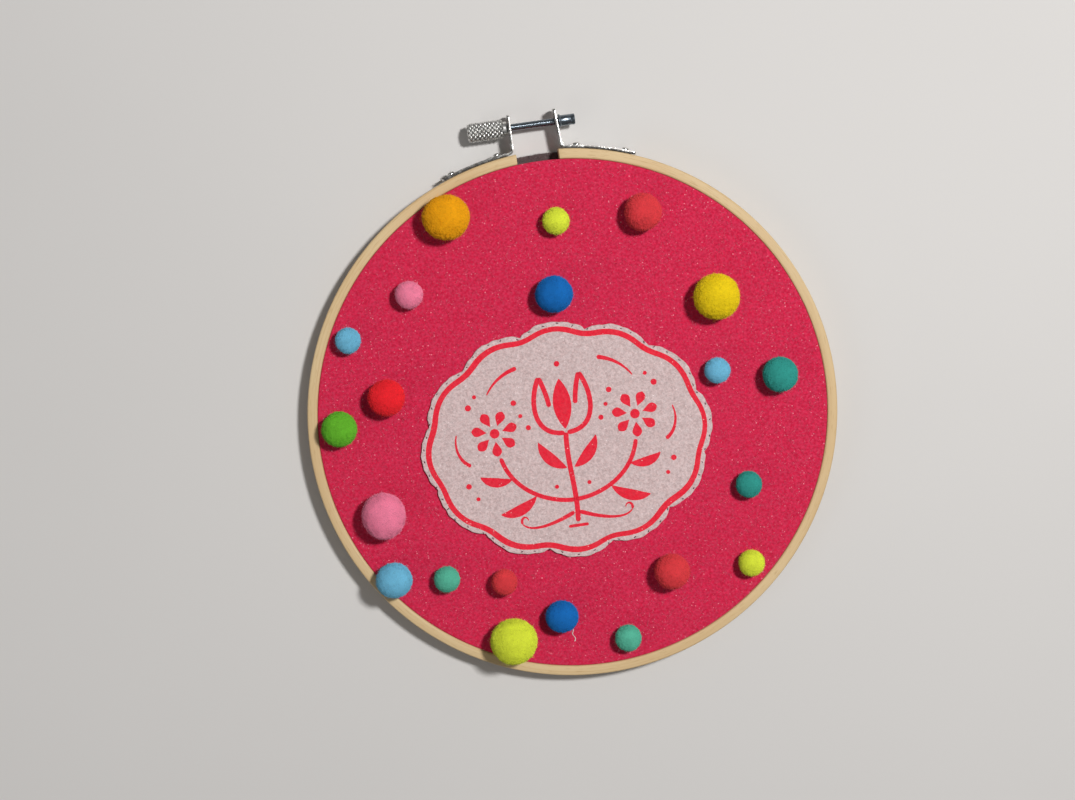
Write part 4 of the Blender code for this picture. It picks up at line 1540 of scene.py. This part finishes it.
@dataclass
class ClampStrip:
    """A bent nickel strip with a round-topped ear, riveted to the ring."""

    side: Side
    thickness: float = 1.0 * MM
    width: float = 9.0 * MM
    bend: float = 1.8 * MM
    mid_radius: float = 105.8 * MM
    tail_degrees: float = 21.2
    ear_x: float = 9.5 * MM
    ear_top: float = 5.0 * MM
    hole_radius: float = 1.9 * MM
    edge_bevel: float = 0.16 * MM
    bend_facets: int = 10
    strip_facets: int = 22
    rivet_radius: float = 1.5 * MM
    rivet_height: float = 0.8 * MM
    rivet_sink: float = 0.25 * MM
    rivet_gap: float = 0.3 * MM
    rivet_facets: int = 7
    rivet_degrees: tuple[float, float] = (8.5, 18.9)

    def line(self) -> list[Vector]:
        """The middle line of the metal on the +X side, from the ear's top to the free end."""
        lean = math.radians(self.side.value[1])
        bend_x = self.ear_x + self.bend
        bend_y = math.sqrt((self.mid_radius + self.bend) ** 2 - bend_x ** 2)
        foot = Vector((bend_x - self.bend * math.cos(lean), bend_y - self.bend * math.sin(lean)))
        rise = (SCREW_AXIS.y + self.ear_top - foot.y) / math.cos(lean)
        up = Vector((-math.sin(lean), math.cos(lean)))
        points = [foot + share * rise * up for share in (1.0, 0.5)]
        first = math.pi + lean
        last = math.atan2(bend_y, bend_x) + math.pi
        for index in range(self.bend_facets + 1):
            angle = first + (last - first) * index / self.bend_facets
            across, along = self.bend * math.cos(angle), self.bend * math.sin(angle)
            points.append(Vector((bend_x + across, bend_y + along)))
        start = math.pi / 2 - math.atan2(bend_y, bend_x)
        end = math.radians(self.tail_degrees)
        for index in range(1, self.strip_facets + 1):
            angle = start + (end - start) * index / self.strip_facets
            points.append(Vector((self.mid_radius * math.sin(angle), self.mid_radius * math.cos(angle))))
        return points

    def build(self, nickel: bpy.types.Material) -> bpy.types.Object:
        """Returns the strip with its screw hole."""
        sign = self.side.value[0]
        low = SCREW_AXIS.z - self.width / 2
        bm = bmesh.new()
        first = [bm.verts.new((0.0, 0.0, height)) for height in (low, low + self.width)]
        edge = bm.edges.new(first)
        for index, point in enumerate(self.line()):
            if index:
                edge = edges_of(bmesh.ops.extrude_edge_only(bm, edges=[edge])["geom"])[0]
            for vert in edge.verts:
                vert.co.xy = (sign * point.x, point.y)
        bmesh.ops.bevel(
            bm, geom=first + list(edge.verts), offset=0.485 * self.width, offset_type="OFFSET",
            segments=12, profile=0.5, affect="VERTICES", clamp_overlap=True, material=-1,
        )
        piece = finished("nickel_clamp_" + self.side.label, bm, nickel, 40.0)
        drill = self.drill(sign)
        self.thicken_and_drill(piece, drill)
        graph = bpy.context.evaluated_depsgraph_get()
        whole = bpy.data.meshes.new_from_object(piece.evaluated_get(graph))
        piece.modifiers.clear()
        piece.data = whole
        whole.shade_smooth()
        whole.set_sharp_from_angle(angle=math.radians(45))
        bpy.data.objects.remove(drill, do_unlink=True)
        return place_piece(piece, HOOP_BODY, "nickel", "clamp_" + self.side.label)

    def thicken_and_drill(self, piece: bpy.types.Object, drill: bpy.types.Object) -> None:
        """Adds the modifiers that give the metal its thickness, its hole and its broken edges."""
        wall = piece.modifiers.new("metal", "SOLIDIFY")
        wall.thickness = self.thickness
        wall.offset = 0.0
        wall.use_even_offset = True
        hole = piece.modifiers.new("hole", "BOOLEAN")
        hole.operation = "DIFFERENCE"
        hole.solver = "EXACT"
        hole.object = drill
        edges = piece.modifiers.new("edges", "BEVEL")
        edges.width = self.edge_bevel
        edges.segments = 2
        edges.limit_method = "ANGLE"
        edges.angle_limit = math.radians(50)

    def drill(self, sign: float) -> bpy.types.Object:
        """Returns the round body that cuts the screw hole."""
        bm = bmesh.new()
        bmesh.ops.create_cone(
            bm, cap_ends=True, segments=40, radius1=self.hole_radius, radius2=self.hole_radius, depth=8 * MM
        )
        place = Matrix.Translation((sign * self.ear_x, SCREW_AXIS.y, SCREW_AXIS.z))
        bmesh.ops.transform(bm, matrix=place @ Matrix.Rotation(0.25 * TURN, 4, "Y"), verts=bm.verts)
        mesh = bpy.data.meshes.new("drill")
        bm.to_mesh(mesh)
        bm.free()
        return shown("drill", mesh)

    def build_rivets(self, nickel: bpy.types.Material) -> list[bpy.types.Object]:
        """Returns the domed rivet heads on the strip."""
        rivets = []
        section = []
        for out, up in quarter(self.rivet_facets):
            section.append((self.rivet_radius * out, self.rivet_height * up))
        section += [(self.rivet_radius, -self.rivet_sink), (0.0, -self.rivet_sink)]
        for number, degrees in enumerate(self.rivet_degrees, start=1):
            bm = bmesh.new()
            spin_section(bm, section, False, 32)
            angle = math.radians(self.side.value[0] * degrees)
            outward = Vector((math.sin(angle), math.cos(angle), 0.0))
            reach = self.mid_radius + self.thickness / 2 + self.rivet_gap
            turn = outward.to_track_quat("Z", "Y").to_matrix().to_4x4()
            place = Matrix.Translation(reach * outward + Vector((0.0, 0.0, SCREW_AXIS.z))) @ turn
            bmesh.ops.transform(bm, matrix=place, verts=bm.verts)
            label = f"{self.side.label}_{number}"
            piece = finished("rivet_head_" + label, bm, nickel, 50.0)
            rivets.append(place_piece(piece, HOOP_BODY, "nickel", "rivet_" + label))
        return rivets


@dataclass
class Bush:
    """The flanged threaded bush outside the right ear."""

    start: float = 10.0 * MM
    length: float = 6.5 * MM
    radius: float = 2.1 * MM
    flange_radius: float = 2.6 * MM
    flange: float = 0.8 * MM
    bore: float = 1.7 * MM
    edge: float = 0.2 * MM
    groove_setback: float = 1.5 * MM
    groove_half: float = 0.15 * MM
    groove_depth: float = 0.12 * MM

    def build(self, zinc: bpy.types.Material) -> bpy.types.Object:
        """Returns the bush."""
        end = self.start + self.length
        shoulder = self.start + self.flange
        groove = end - self.groove_setback
        section = [
            (self.bore, end - self.edge), (self.bore + self.edge, end), (self.radius - self.edge, end),
            (self.radius, end - self.edge), (self.radius, groove + self.groove_half),
            (self.radius - self.groove_depth, groove), (self.radius, groove - self.groove_half),
            (self.radius, shoulder + self.edge), (self.radius + self.edge, shoulder),
            (self.flange_radius - self.edge, shoulder), (self.flange_radius, shoulder - self.edge),
            (self.flange_radius, self.start + self.edge), (self.flange_radius - self.edge, self.start),
            (self.bore, self.start),
        ]
        bm = bmesh.new()
        spin_section(bm, section, True, 48)
        onto_screw_axis(bm)
        return place_piece(finished("zinc_bush", bm, zinc, 40.0), HOOP_BODY, "zinc", "bush")


@dataclass
class ThumbScrew:
    """The turning screw: diamond-knurled head, collar and threaded rod in one."""

    head_radius: float = 3.85 * MM
    head_length: float = 14.2 * MM
    rounding: float = 1.2 * MM
    dome_facets: int = 6
    knurls_round: int = 10
    knurl_pitch: float = 1.7 * MM
    knurl_depth: float = 0.62 * MM
    columns: int = 144
    row_step: float = 0.16 * MM
    collar_radius: float = 2.6 * MM
    collar_length: float = 1.4 * MM
    collar_end: float = -10.3 * MM
    collar_edge: float = 0.2 * MM
    rod_radius: float = 1.4 * MM
    rod_end: float = 15.4 * MM
    thread_pitch: float = 0.6 * MM
    thread_depth: float = 0.1 * MM
    rod_columns: int = 24

    def build_head(self) -> bmesh.types.BMesh:
        """Returns the knurled head with its collar."""
        end = self.collar_end - self.collar_length
        tip = end - self.head_length
        rounds = []
        for out, up in quarter(self.dome_facets):
            rounds.append((self.head_radius - self.rounding * (1 - out), self.rounding * (1 - up)))
        rows = round((self.head_length - 2 * self.rounding) / self.row_step)
        section = [(0.0, tip)] + [(radius, tip + rise) for radius, rise in rounds]
        section += [(self.head_radius, tip + self.rounding + self.row_step * row) for row in range(1, rows)]
        section += [(radius, end - rise) for radius, rise in reversed(rounds)]
        section += [
            (self.collar_radius, end), (self.collar_radius, self.collar_end - self.collar_edge),
            (self.collar_radius - self.collar_edge, self.collar_end), (0.0, self.collar_end),
        ]
        bm = bmesh.new()
        crown = bm.verts.layers.float.new("crown")
        spin_section(bm, section, False, self.columns)
        for vert in bm.verts:
            vert[crown] = 1.0
            reach = math.hypot(vert.co.x, vert.co.y)
            if reach > self.head_radius - 0.75 * self.rounding and vert.co.z < end:
                vert[crown] = self.knurl(vert.co)
                vert.co.xy *= 1 - self.knurl_depth * (1 - vert[crown]) / reach
        return bm

    def knurl(self, point: Vector) -> float:
        """The diamond grip: 1 on the crown of a bead and 0 in a groove."""
        around = math.atan2(point.y, point.x) / TURN * self.knurls_round
        along = point.z / self.knurl_pitch
        return abs(math.sin(math.pi * (around + along)) * math.sin(math.pi * (around - along))) ** 0.7

    def build_rod(self) -> bmesh.types.BMesh:
        """Returns the threaded rod, a closed shell that starts inside the collar."""
        start = self.collar_end - 0.5 * MM
        rows = round((self.rod_end - start) / (self.thread_pitch / 6))
        section = [(0.0, start)]
        section += [(self.rod_radius, start + (self.rod_end - start) * row / rows) for row in range(rows + 1)]
        section.append((0.0, self.rod_end))
        bm = bmesh.new()
        spin_section(bm, section, False, self.rod_columns)
        for vert in bm.verts:
            reach = math.hypot(vert.co.x, vert.co.y)
            if reach > 0.5 * self.rod_radius:
                phase = vert.co.z / self.thread_pitch - math.atan2(vert.co.y, vert.co.x) / TURN
                groove = 0.5 - 0.5 * math.cos(TURN * phase)
                blunt = max(0.0, 1 - (self.rod_end - vert.co.z) / (0.4 * MM))
                vert.co.xy *= 1 - (self.thread_depth * groove + 0.3 * MM * blunt) / reach
        return bm

    def build(self, bright: bpy.types.Material, dark: bpy.types.Material) -> bpy.types.Object:
        """Makes the whole screw.

        Args:
            bright: The finish of its head.
            dark: The finish of its rod.

        Returns:
            The screw.
        """
        bm = self.build_head()
        rod = self.build_rod()
        for face in rod.faces:
            face.material_index = 1
        mesh = bpy.data.meshes.new("rod")
        rod.to_mesh(mesh)
        rod.free()
        bm.from_mesh(mesh)
        bpy.data.meshes.remove(mesh)
        onto_screw_axis(bm)
        screw = finished("zinc_thumb_screw", bm, bright, 40.0)
        screw.data.materials.append(dark)
        return place_piece(screw, SCREW_BODY, "zinc", "thumb_screw")


@dataclass
class GlueStrand:
    """A hair of hot glue left on the felt beside a pompom."""

    start: tuple[float, float] = (-12.4 * MM, -84.4 * MM)
    end: tuple[float, float] = (-11.8 * MM, -90.2 * MM)
    sway: float = 0.35 * MM
    lift: float = 0.16 * MM
    facets: int = 16

    def build(self, felt: PictureFelt, glue: bpy.types.Material) -> bpy.types.Object:
        """Returns the strand, which lies on the felt."""
        path = []
        radii = []
        for index in range(self.facets + 1):
            share = index / self.facets
            point = Vector(self.start).lerp(Vector(self.end), share)
            point.x += self.sway * math.sin(3.2 * math.pi * share)
            path.append(Vector((point.x, point.y, felt.height(point.x, point.y) + self.lift)))
            radii.append((0.1 + 0.09 * abs(math.sin(5 * share))) * MM)
        bm = bmesh.new()
        sweep(bm, path, radii, 8)
        bmesh.ops.recalc_face_normals(bm, faces=bm.faces)
        return place_piece(finished("glue_strand", bm, glue, 60.0), HOOP_BODY, "picture_felt")


@dataclass
class Studio:
    """Floor, lights and camera."""

    key_direction: tuple[float, float, float] = (0.384, 0.286, 1.0)
    key_distance: float = 1.3
    key_size: float = 0.13
    key_power: float = 15.2
    side_place: tuple[float, float, float] = (-1.1, -0.5, 0.9)
    side_size: float = 0.6
    side_power: float = 1.6
    world_strength: float = 0.2
    eye: tuple[float, float, float] = (-32.48 * MM, 99.93 * MM, 799.23 * MM)
    right: tuple[float, float, float] = (0.9896, -0.1382, 0.0401)
    up: tuple[float, float, float] = (0.1419, 0.9836, -0.1110)
    back: tuple[float, float, float] = (-0.0241, 0.1156, 0.9930)
    sensor: float = 36.0
    focal_pixels: float = 2010.0
    picture_pixels: float = 1075.0

    def build(self, effects: Effects) -> None:
        """Sets up the whole studio."""
        self.lay_floor(effects)
        key = Vector(self.key_direction).normalized() * self.key_distance
        self.add_area("key_light", key, self.key_size, self.key_power)
        self.add_area("side_light", Vector(self.side_place), self.side_size, self.side_power)
        self.set_world()
        self.set_camera()
        bpy.context.scene.view_settings.view_transform = "Standard"

    @staticmethod
    def lay_floor(effects: Effects) -> None:
        """Lays the pale floor just under the hoop."""
        bm = bmesh.new()
        bmesh.ops.create_grid(bm, x_segments=4, y_segments=4, size=2.5)
        bmesh.ops.translate(bm, verts=bm.verts, vec=(0.0, 0.0, -0.2 * MM))
        finished("floor", bm, FloorFinish().make(effects))

    @staticmethod
    def add_area(name: str, place: Vector, size: float, power: float) -> None:
        """Adds a square area light that points at the hoop.

        Args:
            name: Its name.
            place: Where it is, in metres.
            size: Its side.
            power: Its power in watts.
        """
        lamp = bpy.data.lights.new(name, "AREA")
        lamp.size = size
        lamp.energy = power
        light = bpy.data.objects.new(name, lamp)
        light.location = place
        light.rotation_euler = place.to_track_quat("Z", "Y").to_euler()
        bpy.context.scene.collection.objects.link(light)

    def set_world(self) -> None:
        """Gives soft light from all round, brighter from above."""
        world = bpy.data.worlds.new("soft_room")
        bpy.context.scene.world = world
        world.use_nodes = True
        tree = Tree(world.node_tree)
        ray = tree.add("TexCoord").outputs["Generated"]
        up = tree.add("SeparateXYZ", {0: ray}).outputs[2]
        shade = tree.mix(tree.ramp(up, -0.2, 0.9), (0.55, 0.55, 0.56, 1.0), (1.0, 1.0, 1.0, 1.0))
        background = world.node_tree.nodes["Background"]
        tree.feed(background.inputs["Color"], shade)
        background.inputs["Strength"].default_value = self.world_strength

    def set_camera(self) -> None:
        """Puts the camera where the photographer stood."""
        data = bpy.data.cameras.new("photo_camera")
        data.sensor_width = self.sensor
        data.lens = self.focal_pixels / self.picture_pixels * self.sensor
        data.clip_start = 0.01
        camera = bpy.data.objects.new("photo_camera", data)
        axes = Matrix((self.right, self.up, self.back)).transposed().to_4x4()
        camera.matrix_world = Matrix.Translation(self.eye) @ axes
        bpy.context.scene.collection.objects.link(camera)
        bpy.context.scene.camera = camera


PINK_FELT = FeltFinish(
    "pink_felt", (0.56, 0.006, 0.045, 1.0), stray=(0.95, 0.15, 0.3, 1.0), glint=(1.0, 0.5, 0.58, 1.0),
    speckle=0.15,
)
PALE_FELT = FeltFinish("pale_felt", (0.56, 0.41, 0.4, 1.0), light=1.16, dark=0.8, speckle=0.24)
DARK_FELT = FeltFinish(
    "dark_felt", (0.1, 0.065, 0.065, 1.0), stray=(0.35, 0.29, 0.29, 1.0), glint_strength=0.15,
)
RED_INK = FeltFinish(
    "printed_ink", screen(226, 28, 52), light=1.08, dark=0.88, stray=(0.95, 0.4, 0.45, 1.0),
    speckle=0.05, glint_share=0.03,
)
PINK_PILE = PileFinish("pink_fibres", (0.5, 0.015, 0.055, 1.0), (0.93, 0.42, 0.52, 1.0))
PALE_PILE = PileFinish("pale_fibres", (0.56, 0.44, 0.43, 1.0), (0.92, 0.82, 0.8, 1.0), screen(226, 34, 58))
DARK_PILE = PileFinish("dark_fibres", (0.07, 0.045, 0.045, 1.0), (0.28, 0.22, 0.22, 1.0))
PLUM_THREAD = FeltFinish("plum_thread", screen(74, 26, 40), density=3000.0, glint_strength=0.2)
NICKEL = PlatedFinish("nickel_plate", (0.78, 0.77, 0.74, 1.0), (0.17, 0.16, 0.15, 1.0), 0.13, 10.8 * MM)
BRIGHT_ZINC = PlatedFinish(
    "bright_zinc_plate", (0.9, 0.89, 0.86, 1.0), (0.06, 0.06, 0.06, 1.0), 0.27, grooved=True,
)
DARK_ZINC = PlatedFinish("dark_zinc_plate", (0.2, 0.235, 0.27, 1.0), (0.1, 0.12, 0.14, 1.0), 0.24)


def dress_hoop(effects: Effects) -> None:
    """Builds every piece of the hoop and its picture."""
    bamboo = BambooFinish().make(effects)
    BambooRing("outer_ring", wall=4.0 * MM, opening=16.6 * MM).build(bamboo)
    BambooRing("inner_ring", wall=3.6 * MM, corner=0.5 * MM, steps=160).build(bamboo)
    backing = Backing()
    disc = backing.build(DARK_FELT.make(effects))
    backing.declare(disc, backing.build_pile(DARK_PILE.make(effects)))
    patch = Patch()
    felt = PictureFelt()
    face = felt.build(PINK_FELT.make(effects))
    felt.declare(face, felt.build_pile(PINK_PILE.make(effects), patch.covers))
    sheet = patch.build(PALE_FELT.make(effects))
    printed = patch.build_print(RED_INK.make(effects))
    stitches = patch.build_stitches(PLUM_THREAD.make(effects))
    patch.declare(sheet, printed, stitches, patch.build_pile(PALE_PILE.make(effects)))
    wools = {wool: wool.finish().make(effects) for wool in Wool}
    for number, pompom in enumerate(POMPOMS):
        pompom.build(number, wools[pompom.wool])
    nickel, zinc = NICKEL.make(effects), DARK_ZINC.make(effects)
    for side in Side:
        clamp = ClampStrip(side)
        clamp.build(nickel)
        clamp.build_rivets(nickel)
    Bush().build(zinc)
    ThumbScrew().build(BRIGHT_ZINC.make(effects), zinc)
    GlueStrand().build(felt, GlueFinish().make(effects))


def main() -> None:
    """Loads the frame, dresses it and sets the studio."""
    logging.basicConfig(level=logging.INFO, format="%(message)s")
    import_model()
    noise.seed_set(NOISE_SEED)
    effects = Effects()
    dress_hoop(effects)
    Studio().build(effects)


if __name__ == "__main__":
    main()
